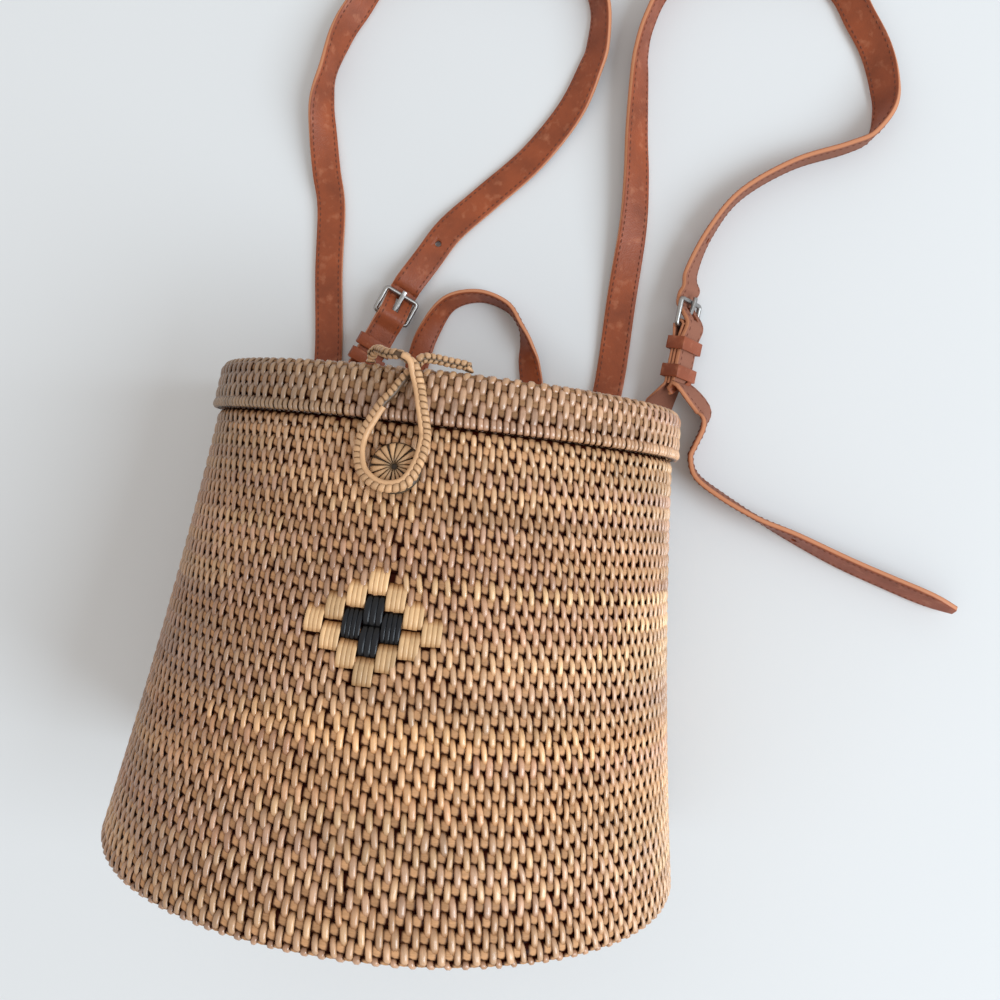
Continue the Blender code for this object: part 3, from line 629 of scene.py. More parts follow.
def lay_coils(
    name, wall, rows, pitch, around, outer, inner, core, columns, bulge=0.0016, stitches=0, first=0
):
    """The rods that the stitches bind, side by side: ridges outside and inside, one closed shell.

    rows: the middles of the rods, in order. around: the shares that they run between.
    outer and inner: how far off the wall the ridges' tops are. core: the rods' colour and the colour of the
    painted shade in their gaps.
    stitches: how many pinch each rod, every other row half a step along, with painted shade on the rod
    beside each. first: the first row's number.
    """
    across = (-1.0, -0.80, -0.38, 0.10, 0.55, 0.84)
    lining = min(bulge, 0.0011)
    path = []
    for number, middle in enumerate(rows):
        phase = 0.25 + 0.5 * ((number + first) % 2)
        for place in across:
            off = outer - bulge * (1 - math.sqrt(1 - place**2))
            path.append((middle + place * pitch / 2, off, abs(place), phase, 1.0))
    path.append((rows[-1] + pitch / 2, outer - bulge, 1.0, phase, 1.0))
    for middle in reversed(rows):
        path.append((middle + pitch / 2, inner + lining, 1.0, 0.0, 0.0))
        path.append((middle + pitch / 4, inner, 0.3, 0.0, 0.0))
        path.append((middle - pitch / 4, inner, 0.3, 0.0, 0.0))
    path.append((rows[0] - pitch / 2, inner + lining, 1.0, 0.0, 0.0))
    path.append(path[0])
    path = np.array(path)
    rows_tone = (np.floor(path[:, 0] / pitch) * GOLDEN_STEP) % 1.0
    coil, shade = core
    whole = abs(around[1] - around[0] - 1.0) < 1e-9

    def shape(round_share, path_share):
        i = np.rint(path_share * (len(path) - 1)).astype(int)
        along, off, edge, phase, outside = path[i].T
        u = around[0] + (around[1] - around[0]) * round_share
        between = np.ones(len(u))
        painted_stitch_shade = 0.0
        if stitches:
            between = np.abs((u * stitches - phase + 0.5) % 1.0 - 0.5) * 2
            # Painted shade on the rod next to each stitch
            painted_stitch_shade = np.clip(1.16 - between * 0.86, 0, 1.2)
        off = off - outside * 0.0007 * (1 - between) * (1 - edge)
        # Painted shade mask: the rods' edges, in the valleys between rows, and beside the stitches
        painted_gap_shade = np.where(outside > 0, np.maximum(edge, painted_stitch_shade), edge * 0.8)
        blend = rows_tone[i][:, None]
        tint = np.array(coil) * (1 - 0.35 * blend) + 0.35 * blend * np.array(shade)
        fibre = np.stack([along * 1.0, round_share * 0.6, along * 31 % 1.0], axis=1)
        return wall.at(u, along, off), reed_marks(tint, fibre) | {"painted_gap_shade": ("FLOAT", painted_gap_shade)}

    return wrapped(name, columns, len(path) - 1, shape, caps=not whole)


# Materials


def feed(tree, node, inputs):
    """Gives each of a node's inputs, by name or number, a value or a socket to be linked from."""
    for key, value in inputs.items():
        socket = node.inputs[key]
        if isinstance(value, bpy.types.NodeSocket):
            tree.links.new(value, socket)
        elif socket.type == "RGBA":
            socket.default_value = (*value, 1.0)
        else:
            socket.default_value = value


def add_node(tree, kind, inputs, **settings):
    """A node with its settings and its inputs."""
    node = tree.nodes.new(kind)
    for key, value in settings.items():
        setattr(node, key, value)
    feed(tree, node, inputs)
    return node


def worked_out(tree, operation, *values):
    """The result of one operation on numbers or sockets."""
    return add_node(tree, "ShaderNodeMath", dict(enumerate(values)), operation=operation).outputs[0]


def ranged(tree, value, low, high, to_low, to_high, **settings):
    """A value that runs from low to high, moved to run from to_low to to_high."""
    inputs = {"Value": value, "From Min": low, "From Max": high, "To Min": to_low, "To Max": to_high}
    return add_node(tree, "ShaderNodeMapRange", inputs, **settings).outputs["Result"]


def mixed(tree, factor, first, second, blend="MIX"):
    """Two colours mixed, each a colour or a socket."""
    inputs = {0: factor, 6: first, 7: second}
    return add_node(tree, "ShaderNodeMix", inputs, data_type="RGBA", blend_type=blend).outputs[2]


def mixed_values(tree, factor, first, second):
    """Two numbers mixed, each a number or a socket."""
    inputs = {0: factor, 2: first, 3: second}
    return add_node(tree, "ShaderNodeMix", inputs, data_type="FLOAT").outputs[0]


def noise_on(tree, where, scale, detail, rough=0.5):
    inputs = {"Vector": where, "Scale": scale, "Detail": detail, "Roughness": rough}
    return add_node(tree, "ShaderNodeTexNoise", inputs).outputs["Fac"]


def object_place(tree):
    return tree.nodes.new("ShaderNodeTexCoord").outputs["Object"]


def mark_on(tree, name, output="Fac"):
    """What a mesh carries under a name on its points."""
    return add_node(tree, "ShaderNodeAttribute", {}, attribute_name=name).outputs[output]


def new_group(name, inputs):
    """A node group that gives a colour, a roughness and a height, with what goes in and its last node."""
    tree = bpy.data.node_groups.new(name, "ShaderNodeTree")
    for label, kind in inputs:
        tree.interface.new_socket(label, in_out="INPUT", socket_type=f"NodeSocket{kind}")
    for label, kind in (("Colour", "Color"), ("Roughness", "Float"), ("Height", "Float")):
        tree.interface.new_socket(label, in_out="OUTPUT", socket_type=f"NodeSocket{kind}")
    return tree, tree.nodes.new("NodeGroupInput").outputs, tree.nodes.new("NodeGroupOutput")


def reed_group():
    """Fibres along a reed: takes its colour and its own coordinates, gives colour, roughness and height."""
    inputs = (("Tint", "Color"), ("Fibre", "Vector"), ("Contrast", "Float"))
    tree, given, result = new_group("Reed fibre", inputs)

    def fibres(scales, detail, rough):
        ways = {0: given["Fibre"], 1: scales}
        stretched = add_node(tree, "ShaderNodeVectorMath", ways, operation="MULTIPLY")
        return noise_on(tree, stretched.outputs[0], 1.0, detail, rough)

    streak = fibres((2600.0, 190.0, 40.0), 3.0, 0.6)
    patch = fibres((500.0, 260.0, 9.0), 2.0, 0.5)
    centred = worked_out(tree, "SUBTRACT", worked_out(tree, "ADD", streak, patch), 1.0)
    amount = worked_out(tree, "MULTIPLY_ADD", centred, given["Contrast"], 1.0)
    scaled = {0: given["Tint"], "Scale": amount}
    shaded = add_node(tree, "ShaderNodeVectorMath", scaled, operation="SCALE").outputs[0]
    roughness = ranged(tree, patch, 0.0, 1.0, 0.16, 0.44)
    feed(tree, result, {"Colour": shaded, "Roughness": roughness, "Height": streak})
    return tree


def leather_group():
    """Leather: takes its three colours and what its mesh carries, gives colour, roughness and height."""
    colours = (("Grain", "Color"), ("Reverse", "Color"), ("Cut edge", "Color"))
    places = (("Side", "Float"), ("Edge", "Float"), ("Lay", "Vector"))
    tree, given, result = new_group("Leather hide", colours + places)
    lay, side = given["Lay"], given["Side"]
    clouds = noise_on(tree, lay, 55.0, 4.0, 0.55)
    worn = noise_on(tree, lay, 190.0, 3.0, 0.55)
    pores = add_node(tree, "ShaderNodeTexVoronoi", {"Vector": lay, "Scale": 1500.0}, feature="F1")
    nap = noise_on(tree, lay, 2600.0, 2.0, 0.7)
    cloudy = ranged(tree, clouds, 0.3, 0.7, 0.0, 1.0)
    grain = mixed(tree, cloudy, given["Grain"], (0.62, 0.62, 0.66), "MULTIPLY")
    grain = mixed(tree, ranged(tree, worn, 0.55, 0.80, 0.0, 0.35), grain, (0.62, 0.26, 0.14))
    napped = ranged(tree, nap, 0.3, 0.7, 0.15, 0.6)
    reverse = mixed(tree, napped, given["Reverse"], (0.16, 0.07, 0.045))
    face = mixed(tree, side, grain, reverse)
    colour = mixed(tree, ranged(tree, given["Edge"], 0.55, 0.95, 0.0, 1.0), face, given["Cut edge"])
    roughness = mixed_values(tree, side, ranged(tree, clouds, 0.3, 0.7, 0.34, 0.50), 0.86)
    height = mixed_values(tree, side, pores.outputs["Distance"], nap)
    feed(tree, result, {"Colour": colour, "Roughness": roughness, "Height": height})
    return tree


def new_material(name):
    """A material, its node tree and its shader."""
    material = bpy.data.materials.new(name)
    material.use_nodes = True
    tree = material.node_tree
    return material, tree, tree.nodes["Principled BSDF"]


def dress(tree, shader, effect, strength, distance=0.0003):
    """Feeds a shader with a colour, a roughness and a height, which becomes a bump."""
    colour, roughness, height = effect
    relief = {"Strength": strength, "Distance": distance, "Height": height}
    normal = add_node(tree, "ShaderNodeBump", relief).outputs["Normal"]
    feed(tree, shader, {"Base Color": colour, "Roughness": roughness, "Normal": normal})


def reed_material(name, contrast, shine, shade):
    """Reed in the colours that its mesh carries. shade: the colour of the painted shade in the gaps that
    the mesh marks.
    """
    material, tree, shader = new_material(name)
    tint = mark_on(tree, "tint", "Color")
    fibre = mark_on(tree, "fibre", "Vector")
    if shade:
        # Painted shade: the gap mask darkens the rods towards the shade colour
        painted_gap_shade = mark_on(tree, "painted_gap_shade")
        painted_shade_amount = ranged(tree, painted_gap_shade, 0.53, 0.83, 0.0, 1.0, interpolation_type="SMOOTHSTEP")
        tint = mixed(tree, painted_shade_amount, tint, shade)
    inputs = {"Tint": tint, "Fibre": fibre, "Contrast": contrast}
    group = bpy.data.node_groups.get("Reed fibre") or reed_group()
    effect = add_node(tree, "ShaderNodeGroup", inputs, node_tree=group)
    dress(tree, shader, effect.outputs, 0.35)
    feed(tree, shader, {"Specular IOR Level": shine})
    return material


def leather_material(name, colours):
    """Leather on the coordinates, the side and the edge that its mesh carries."""
    material, tree, shader = new_material(name)
    inputs = {"Grain": colours.grain, "Reverse": colours.reverse, "Cut edge": colours.edge}
    inputs |= {"Side": mark_on(tree, "side"), "Edge": mark_on(tree, "edge")}
    inputs["Lay"] = mark_on(tree, "lay", "Vector")
    effect = add_node(tree, "ShaderNodeGroup", inputs, node_tree=leather_group())
    dress(tree, shader, effect.outputs, 0.25)
    feed(tree, shader, {"Specular IOR Level": 0.3})
    return material


def metal_material(name, colour, roughness, dull):
    """Metal with fine scratches. dull: how dark its tarnish is, as a share of its colour."""
    material, tree, shader = new_material(name)
    scratches = noise_on(tree, object_place(tree), 420.0, 5.0, 0.6)
    tarnish = mixed(tree, scratches, colour, [value * dull for value in colour])
    rough = ranged(tree, scratches, 0.0, 1.0, roughness, roughness + 0.25)
    dress(tree, shader, (tarnish, rough, scratches), 0.15, 0.0001)
    feed(tree, shader, {"Metallic": 1.0})
    return material


def matt_material(name, colour, scale, detail, change, roughness):
    """A matt material whose colour is a little darker here and lighter there."""
    material, tree, shader = new_material(name)
    cloud = noise_on(tree, object_place(tree), scale, detail)
    darker = [value * (1 - change) for value in colour]
    lighter = [value * (1 + change) for value in colour]
    feed(tree, shader, {"Base Color": mixed(tree, cloud, darker, lighter), "Roughness": roughness})
    return material


# Each finish of reed: how much its fibres show, and its shine
REED_FINISHES = {"reed_stitches": (0.6, 1.0), "reed_coils": (0.6, 0.05), "loop_reed": (0.35, 0.3)}
# Each metal: its colour, its roughness and its tarnish
METAL_FINISHES = {"buckle_steel": (168, 166, 164, 0.22, 0.7), "rivet_brass": (200, 168, 108, 0.30, 0.6)}
MATERIALS = {}


def finish(name):
    """The named material, made the first time that a piece asks for it."""
    if name in MATERIALS:
        return MATERIALS[name]
    colours = bpy.context.scene.pack_basket_colours
    if name in REED_FINISHES:
        shade = colours.shade if name == "reed_coils" else None
        made = reed_material(name, *REED_FINISHES[name], shade)
    elif name in METAL_FINISHES:
        *colour, roughness, dull = METAL_FINISHES[name]
        made = metal_material(name, linear(*colour), roughness, dull)
    elif name == "strap_leather":
        made = leather_material(name, colours)
    elif name == "strap_thread":
        made = matt_material(name, colours.thread, 2400.0, 2.0, 0.25, 0.7)
    else:
        raise ValueError(f"there is no finish named {name}")
    MATERIALS[name] = made
    return made


# Leather strips


def smooth_route(points, steps):
    """Points on a smooth curve through the given ones. Coordinates past the second never overshoot."""
    points = np.array(points, float)
    before = np.concatenate([points[:1], points[:-1]])
    after = np.concatenate([points[1:], points[-1:]])
    down, up = points - before, after - points
    with np.errstate(divide="ignore", invalid="ignore"):
        tangents = np.where(down * up > 0, 2 * down * up / (down + up), 0.0)
    tangents[:, :2] = ((down + up) / 2)[:, :2]
    out = []
    for i in range(len(points) - 1):
        for step in range(steps):
            t = step / steps
            out.append(
                (2 * t**3 - 3 * t**2 + 1) * points[i]
                + (t**3 - 2 * t**2 + t) * tangents[i]
                + (3 * t**2 - 2 * t**3) * points[i + 1]
                + (t**3 - t**2) * tangents[i + 1]
            )
    out.append(points[-1])
    return np.array(out)


def lying(x_share, y_share, roll_deg, width, thickness, spread=STRAP_SPREAD, reach=STRAP_REACH):
    """A place past the lid where a strip lies on the floor, and its roll."""
    roll = math.radians(roll_deg)
    rise = abs(math.sin(roll)) * width / 2 + abs(math.cos(roll)) * thickness / 2
    return Vector((x_share * spread, BASE_Y + BASKET_HEIGHT + y_share * reach, rise - FLOOR_DROP)), roll


def stations_of(route, steps):
    """Dense rows of point, width direction and normal along a route of (point, roll or width direction)."""
    keyed = []
    for i, (point, way) in enumerate(route):
        if not isinstance(way, Vector):
            ahead = route[min(i + 1, len(route) - 1)][0] - route[max(i - 1, 0)][0]
            across = Vector((ahead.y, -ahead.x, 0.0)).normalized()
            way = across * math.cos(way) - Vector((0.0, 0.0, math.sin(way)))
        keyed.append((*point, *way))
    dense = smooth_route(keyed, steps)
    points = dense[:, :3]
    ahead = np.gradient(points, axis=0)
    ahead /= np.linalg.norm(ahead, axis=1, keepdims=True)
    width = dense[:, 3:]
    width = width - ahead * (width * ahead).sum(axis=1, keepdims=True)
    width /= np.linalg.norm(width, axis=1, keepdims=True)
    return points, width, np.cross(width, ahead)


class Stack:
    """The folded anchor and the strap on it: a straight, leaning run behind a buckle's bar."""

    def __init__(self, name, width):
        shares = BUCKLES[name]
        self.name = name
        self.face = shares["face"]
        self.heading = math.radians(shares["heading"])
        self.roll = math.radians(shares["roll"])
        self.keepers = [share * KEEPER_LENGTH for share in shares["keepers"]]
        x_share, y_share = shares["bar"]
        self.bar = (x_share * STRAP_SPREAD, BASE_Y + BASKET_HEIGHT + y_share * STRAP_REACH)
        self.foot = self.keepers[1] - KEEPER_LENGTH
        self.width = width

    def place(self, along):
        """Matrix from (across, along the run, out of the face) axes at a place on the run."""
        half_width = BUCKLE_OPENING / 2 + BUCKLE_WIRE
        half_height = BUCKLE_WIRE + FIT_GAP + STRAP_THICKNESS
        rise = math.sin(self.roll) * half_width + math.cos(self.roll) * half_height
        run = Vector((math.sin(self.heading), math.cos(self.heading), 0.0))
        side = Vector((run.y, -run.x, 0.0))
        across = side * math.cos(self.roll) - Vector((0.0, 0.0, math.sin(self.roll)))
        centre = Vector((self.bar[0], self.bar[1], rise - FLOOR_DROP)) + run * along
        turn = Matrix((across, run, across.cross(run))).transposed().to_4x4()
        return Matrix.Translation(centre) @ turn

    def point(self, start, along, out, across=0.0):
        """A point that far along the run, out of the face and across, from a place on the run."""
        return self.place(start) @ Vector((across, along, out))

    def across(self):
        return self.place(0.0).to_3x3() @ Vector((1.0, 0.0, 0.0))

    def samples(self):
        """Places along the run, from its foot to near the bar."""
        steps = 12
        top = -2 * FOLD_RADIUS
        return [self.foot + (top - self.foot) * step / steps for step in range(steps + 1)]


def strip_section(width, thickness):
    """The outline of a strip with eased edges, all the way round: across, height, edge share and side."""
    half, high = width / 2, thickness / 2
    ease = min(0.0006, high * 0.7)
    rows = []
    for side in (1, -1):
        face = 0.0 if side > 0 else 1.0
        rows.append((-half * side, high * side * 0.35, 1.0, face))
        rows.append((-(half - ease * 0.35) * side, (high - ease * 0.30) * side, 0.7, face))
        rows.append((-(half - ease) * side, high * side, 0.25, face))
        for place in (-0.72, -0.4, 0.0, 0.4, 0.72):
            rows.append((place * half * side, high * side * (1.0 + 0.05 * (1 - place * place)), 0.0, face))
        rows.append(((half - ease) * side, high * side, 0.25, face))
        rows.append(((half - ease * 0.35) * side, (high - ease * 0.30) * side, 0.7, face))
        rows.append((half * side, high * side * 0.35, 1.0, face))
    rows.append(rows[0])
    return np.array(rows)


def leather_strip(name, stations, width, thickness, tips=(0.0, 0.0), grain_up=True):
    """A strip of leather through stations, its ends rounded over the given lengths."""
    points, across, normals = stations
    run = run_along(points)
    section = strip_section(width, thickness)
    narrow = np.ones(len(run))
    for tip, left in ((tips[0], run), (tips[1], run[-1] - run)):
        if tip:
            taper = np.clip(1 - left / tip, 0, 1)
            narrow = np.minimum(narrow, np.maximum(0.35, np.sqrt(np.clip(1 - taper**2, 0, 1))))

    def shape(along_share, section_share):
        i = np.rint(along_share * (len(run) - 1)).astype(int)
        k = np.rint(section_share * (len(section) - 1)).astype(int)
        x = section[k, 0] * narrow[i]
        z = section[k, 1]
        place = points[i] + across[i] * x[:, None] + normals[i] * z[:, None]
        side = section[k, 3] if grain_up else 1.0 - section[k, 3]
        lay = np.stack([run[i], x, z * 0.5 + side], axis=1)
        return place, leather_marks(lay, side, section[k, 2])

    return wrapped(name, len(run) - 1, len(section) - 1, shape, caps=True)


def sewing(name, stations, inset, thickness, pitch, margin):
    """Thread stitches near both edges of a strip, on both its faces."""
    points, across, normals = stations
    run = run_along(points)
    places = np.arange(margin, run[-1] - margin, pitch)
    spots = np.array([(place, edge, side) for place in places for edge in (-1, 1) for side in (1, -1)])

    def shape(unit_points, which):
        a, b, c = unit_points.T
        place, edge, side = spots[which].T
        s = place + b * pitch * 0.70
        x = edge * inset + a * 2 * THREAD_RADIUS * side
        z = side * (thickness / 2 + 0.00012 + c * 2 * THREAD_RADIUS * 0.8 - 0.0009 * b * b)
        wide = read_at(s, run, across) * x[:, None]
        return read_at(s, run, points) + wide + read_at(s, run, normals) * z[:, None], {}

    return repeated(name, unit_reed(5, 2, 0.5), len(spots), shape)


def tube_mesh(name, points, radius, sides, closed=False, tint=(0.5, 0.4, 0.3)):
    """A round tube along points, in one colour."""
    points = np.array(points, float)
    count = len(points)
    if closed:
        ahead = np.roll(points, -1, axis=0) - np.roll(points, 1, axis=0)
    else:
        ahead = np.gradient(points, axis=0)
    ahead /= np.linalg.norm(ahead, axis=1, keepdims=True)
    up = Vector(ahead[0]).orthogonal().normalized()
    ups = []
    for way in ahead:
        way = Vector(way)
        up = (up - way * up.dot(way)).normalized()
        ups.append(up.copy())
    ups = np.array(ups)
    sidewise = np.cross(ahead, ups)
    if closed:
        first = Vector(ups[0])
        last = Vector(ahead[0])
        end = (up - last * up.dot(last)).normalized()
        twist = math.atan2(end.cross(first).dot(last), end.dot(first))
        angles = np.arange(count) / count * twist
        ups = ups * np.cos(angles)[:, None] + sidewise * np.sin(angles)[:, None]
        sidewise = np.cross(ahead, ups)
    run = run_along(points)
    rings = count if closed else count - 1

    def shape(along_share, round_share):
        i = np.rint(along_share * rings).astype(int) % count
        angle = 2 * math.pi * round_share
        ring = ups[i] * np.cos(angle)[:, None] + sidewise[i] * np.sin(angle)[:, None]
        fibre = np.stack([angle * radius, run[i], 0 * run[i]], axis=1)
        return points[i] + ring * radius, reed_marks(np.tile(np.array(tint), (len(i), 1)), fibre)

    return wrapped(name, rings, sides, shape, caps=not closed)


def rounded_loop(half_x, half_y, bend, steps=5):
    """Points of a rounded rectangle about the origin."""
    points = []
    for i, (sx, sy) in enumerate(((-1, -1), (1, -1), (1, 1), (-1, 1))):
        start = math.pi + i * math.pi / 2
        for step in range(steps + 1):
            angle = start + math.pi / 2 * step / steps
            x = sx * (half_x - bend) + bend * math.cos(angle)
            points.append((x, sy * (half_y - bend) + bend * math.sin(angle)))
    return points


def cylinder(start, end, radius):
    start, end = Vector(start), Vector(end)
    turn = (end - start).to_track_quat("Z", "Y").to_matrix().to_4x4()
    bm = bmesh.new()
    bmesh.ops.create_cone(
        bm, cap_ends=True, segments=14, radius1=radius, radius2=radius,
        depth=(end - start).length, matrix=Matrix.Translation((start + end) / 2) @ turn,
    )
    return bm


def slot_box(place, low, high):
    bm = bmesh.new()
    bmesh.ops.create_cube(bm, size=1.0)
    bmesh.ops.scale(bm, vec=Vector(high) - Vector(low), verts=bm.verts)
    bmesh.ops.translate(bm, vec=(Vector(high) + Vector(low)) / 2, verts=bm.verts)
    bmesh.ops.transform(bm, matrix=place, verts=bm.verts)
    return bm


def cut(obj, cutters):
    """Takes each cutter's shape out of an object and keeps the result as its mesh."""
    helpers = []
    for bm in cutters:
        helper = bpy.data.objects.new("cutter", mesh_from(bm, "cutter"))
        bpy.context.scene.collection.objects.link(helper)
        helpers.append(helper)
        boolean = obj.modifiers.new("cut", "BOOLEAN")
        boolean.operation = "DIFFERENCE"
        boolean.solver = "MANIFOLD"
        boolean.object = helper
    bpy.context.view_layer.update()
    whole = bpy.data.meshes.new_from_object(obj.evaluated_get(bpy.context.evaluated_depsgraph_get()))
    obj.modifiers.clear()
    obj.data = whole
    for helper in helpers:
        bpy.data.objects.remove(helper, do_unlink=True)


def eased_copy(node, name, width, segments=2):
    """A copy of a solid with its sharp edges rounded over."""
    bm = bmesh.new()
    bm.from_mesh(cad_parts[node].data)
    bmesh.ops.remove_doubles(bm, verts=bm.verts, dist=0.000005)
    bmesh.ops.dissolve_limit(bm, angle_limit=math.radians(4), verts=bm.verts, edges=bm.edges)
    joined = [edge for edge in bm.edges if len(edge.link_faces) == 2]
    sharp = [edge for edge in joined if edge.calc_face_angle(0.0) > math.radians(32)]
    bmesh.ops.bevel(
        bm, geom=sharp, offset=width, segments=segments, profile=0.5, affect="EDGES",
        material=-1, clamp_overlap=True,
    )
    return mesh_from(bm, name)


# Pieces


class SceneOperator(bpy.types.Operator):
    """Common settings of the operators that make pieces"""

    bl_idname = "pack_basket.common"
    bl_label = "Common"
    bl_options = {"REGISTER", "UNDO"}

    @staticmethod
    def settings():
        scene = bpy.context.scene
        return scene.pack_basket_sizes, scene.pack_basket_colours

    @staticmethod
    def palette(colours):
        return np.array([colours.honey[:], colours.golden[:], colours.mauve[:], colours.brown[:]])

    @staticmethod
    def core(colours, tone=1.0):
        """The rods' colour and that of the painted shade in the gaps between them."""
        return np.array(colours.coil[:]) * tone, colours.shade[:]

    @staticmethod
    def stitched(name, body, wall, spots, unit, thickness, *sinks, inside=False):
        """Adds the stitches at some spots as a piece."""
        mesh = lay_stitches(name, wall, spots, unit, thickness, *sinks, inside=inside)
        add_piece(name, mesh, "reed_stitches", body)

    @staticmethod
    def coiled(name, body, nodes, *laid):
        """Adds rods as a piece."""
        add_piece(name, lay_coils(name, *laid), "reed_coils", body, nodes)

    def sewn(self, name, stations, inset, thickness, margin):
        """Adds the sewing of a strip as a piece."""
        pitch = self.settings()[0].thread_pitch
        mesh = sewing(name, stations, inset, thickness, pitch, margin)
        add_piece(name, mesh, "strap_thread", "basket")

    @staticmethod
    def tube(name, body, nodes, points, radius, sides, tint):
        """Adds one round reed as a piece."""
        mesh = tube_mesh(name, points, radius, sides, tint=tuple(tint))
        add_piece(name, mesh, "loop_reed", body, nodes)


MOTIF_CENTRE = (0.0021, 0.1109)
MOTIF_STEP = (0.0074, 0.0054)
# Rows of the diamond from its top down: columns either side of the middle, and whether each is black
MOTIF_BLOCKS = (
    (3, ((0, False),)),
    (2, ((-1, False), (1, False))),
    (1, ((-2, False), (0, True), (2, False))),
    (0, ((-3, False), (-1, True), (1, True), (3, False))),
    (-1, ((-2, False), (0, True), (2, False))),
    (-2, ((-1, False), (1, False))),
    (-3, ((0, False),)),
)


def in_motif(x, height):
    dx = abs(x - MOTIF_CENTRE[0]) / (MOTIF_STEP[0] * 3.75)
    dy = abs(height - MOTIF_CENTRE[1]) / (MOTIF_STEP[1] * 4.0)
    return dx + dy < 1.0


def body_tones_and_painted_light(around, height):
    """How the body's reed changes in tone round it and up it: painted shade towards its left, paler, bluer
    painted light towards its right, random patches, a golden band and darker top rows.
    """
    patch = np.sin(around * 19.0 + height * 61.0) + np.sin(around * 41.0 - height * 95.0 + 1.3)
    right = painted_light_share(around)
    # Painted shade and light: darker and warmer on the left, lighter and bluer on the right, where the
    # light falls; patch is random tone
    tone = (0.50 + 0.57 * right**0.6 + 0.06 * patch)[:, None]
    tone = tone * (np.array((1.02, 0.96, 0.93)) + right[:, None] * np.array((-0.02, 0.04, 0.08)))
    if 0.048 < height < 0.080:
        tone = tone * np.array((1.08, 1.02, 0.92))
    elif height > 0.168:
        tone = tone * 0.93
    return tone


class PACKBASKET_OT_body(SceneOperator):
    """Weaves the body: coils bound with reed stitches, inside and out"""

    bl_idname = "pack_basket.body"
    bl_label = "Body"

    def execute(self, context):
        sizes, colours = self.settings()
        palette = self.palette(colours)
        core = self.core(colours)
        count = sizes.columns
        rng = np.random.default_rng(7)
        pitch = (BODY_RIM - BODY_LOW) / round((BODY_RIM - BODY_LOW) / sizes.row_pitch)
        rows = np.arange(BODY_LOW + pitch / 2, BODY_RIM, pitch)
        half = len(rows) // 2
        for name, part, first in (("low", rows[:half], 0), ("high", rows[half:], half)):
            self.coiled(
                f"body_coils_{name}", "basket", ["body_wall"], BODY, list(part), pitch, (0.0, 1.0),
                -0.0006, -0.0044, core, 4 * count, 0.0023, count, first,
            )
        riser_top = RISER_TOP - EDGE_RADIUS
        riser_rows = np.arange(BODY_RIM + pitch / 2, riser_top - pitch / 3, pitch)
        _, riser_end = shares_where(BODY, riser_top - 0.001, lambda x, z: z < RISER_END)
        span = (-riser_end, riser_end)
        self.coiled(
            "riser_coils", "basket", (), BODY, list(riser_rows), pitch, span, -0.0009, -0.0040, core, 90
        )

        outer = {"low": Spots(), "high": Spots()}
        inner = Spots()
        lift = -sizes.reed_thickness / 2 - 0.00005
        for number, along in enumerate(np.concatenate([rows, riser_rows])):
            height = along + EDGE_RADIUS
            around = even_shares(count, 0.25 + 0.5 * (number % 2), rng, STITCH_JITTER)
            tint = reed_lengths(count, rng, palette) * body_tones_and_painted_light(around, height)
            length = sizes.stitch_length * rng.normal(1.0, 0.05, count)
            place = along - 0.0006 + rng.normal(0, 0.0002, count)
            narrow = min(1.12, BODY.length(along) / 0.650)
            width = sizes.reed_width * rng.normal(1.0, 0.06, count) * narrow
            lean = rng.normal(0.13, 0.06, count)
            if along > BODY_RIM:
                keep = (around % 1.0 < riser_end - 0.004) | (around % 1.0 > 1 - riser_end + 0.004)
                length = length * 0.8
            else:
                points = BODY.at(around, np.full(count, along), np.zeros(count))
                keep = np.array([not (z > 0.08 and in_motif(x, height)) for x, _, z in points])
                if number == len(rows) - 1:
                    length = length * 0.72
                    place = place - 0.0006
            which = "low" if number < len(rows) / 2 else "high"
            outer[which].add(
                around[keep], place[keep], width[keep], length[keep], lean[keep], lift, tint[keep]
            )
            if height < RIM_HEIGHT - 0.012:
                inner.add(around, place, width, length * 0.97, lean, -0.0048, tint * LINING_TONE)
        for which, spots in outer.items():
            unit = unit_reed(6, 5, 0.86)
            self.stitched(f"body_stitches_{which}", "basket", BODY, spots, unit, sizes.reed_thickness)
        self.stitched("lining_stitches", "basket", BODY, inner, unit_reed(5, 3), 0.0009, inside=True)
        return {"FINISHED"}


class PACKBASKET_OT_base(SceneOperator):
    """Weaves the flat base from its edge in to its middle coil"""

    bl_idname = "pack_basket.base"
    bl_label = "Base"

    def execute(self, context):
        sizes, colours = self.settings()
        palette = self.palette(colours)
        rng = np.random.default_rng(11)
        pitch = sizes.row_pitch
        rows = np.arange(BODY_LOW - pitch / 2, BODY.places[0] + pitch / 2, -pitch)[::-1]
        self.coiled(
            "base_coils", "basket", ["base_panel"], BODY, list(rows), pitch, (0.0, 1.0),
            -0.0009, -0.0046, self.core(colours), 160, 0.0020,
        )
        spots = Spots()
        for number, along in enumerate(rows):
            count = columns_at(BODY, along, 0.0056, 24)
            around = even_shares(count, 0.5 * (number % 2))
            tint = reed_lengths(count, rng, palette)
            length = sizes.stitch_length * rng.normal(1.0, 0.05, count)
            lift = -sizes.reed_thickness / 2
            spots.add(around, along + 0.0004, sizes.reed_width, length, 0.05, lift, tint)
        self.stitched("base_stitches", "basket", BODY, spots, unit_reed(6, 4), sizes.reed_thickness)
        half = BASE_WIDTH / 2 - BASE_DEPTH / 2 + 0.002
        points = [(x, BASE_Y + 0.0026, BASE_DEPTH / 2) for x in np.linspace(-half, half, 24)]
        self.tube("base_middle_coil", "basket", (), points, 0.0024, 12, colours.honey)
        return {"FINISHED"}


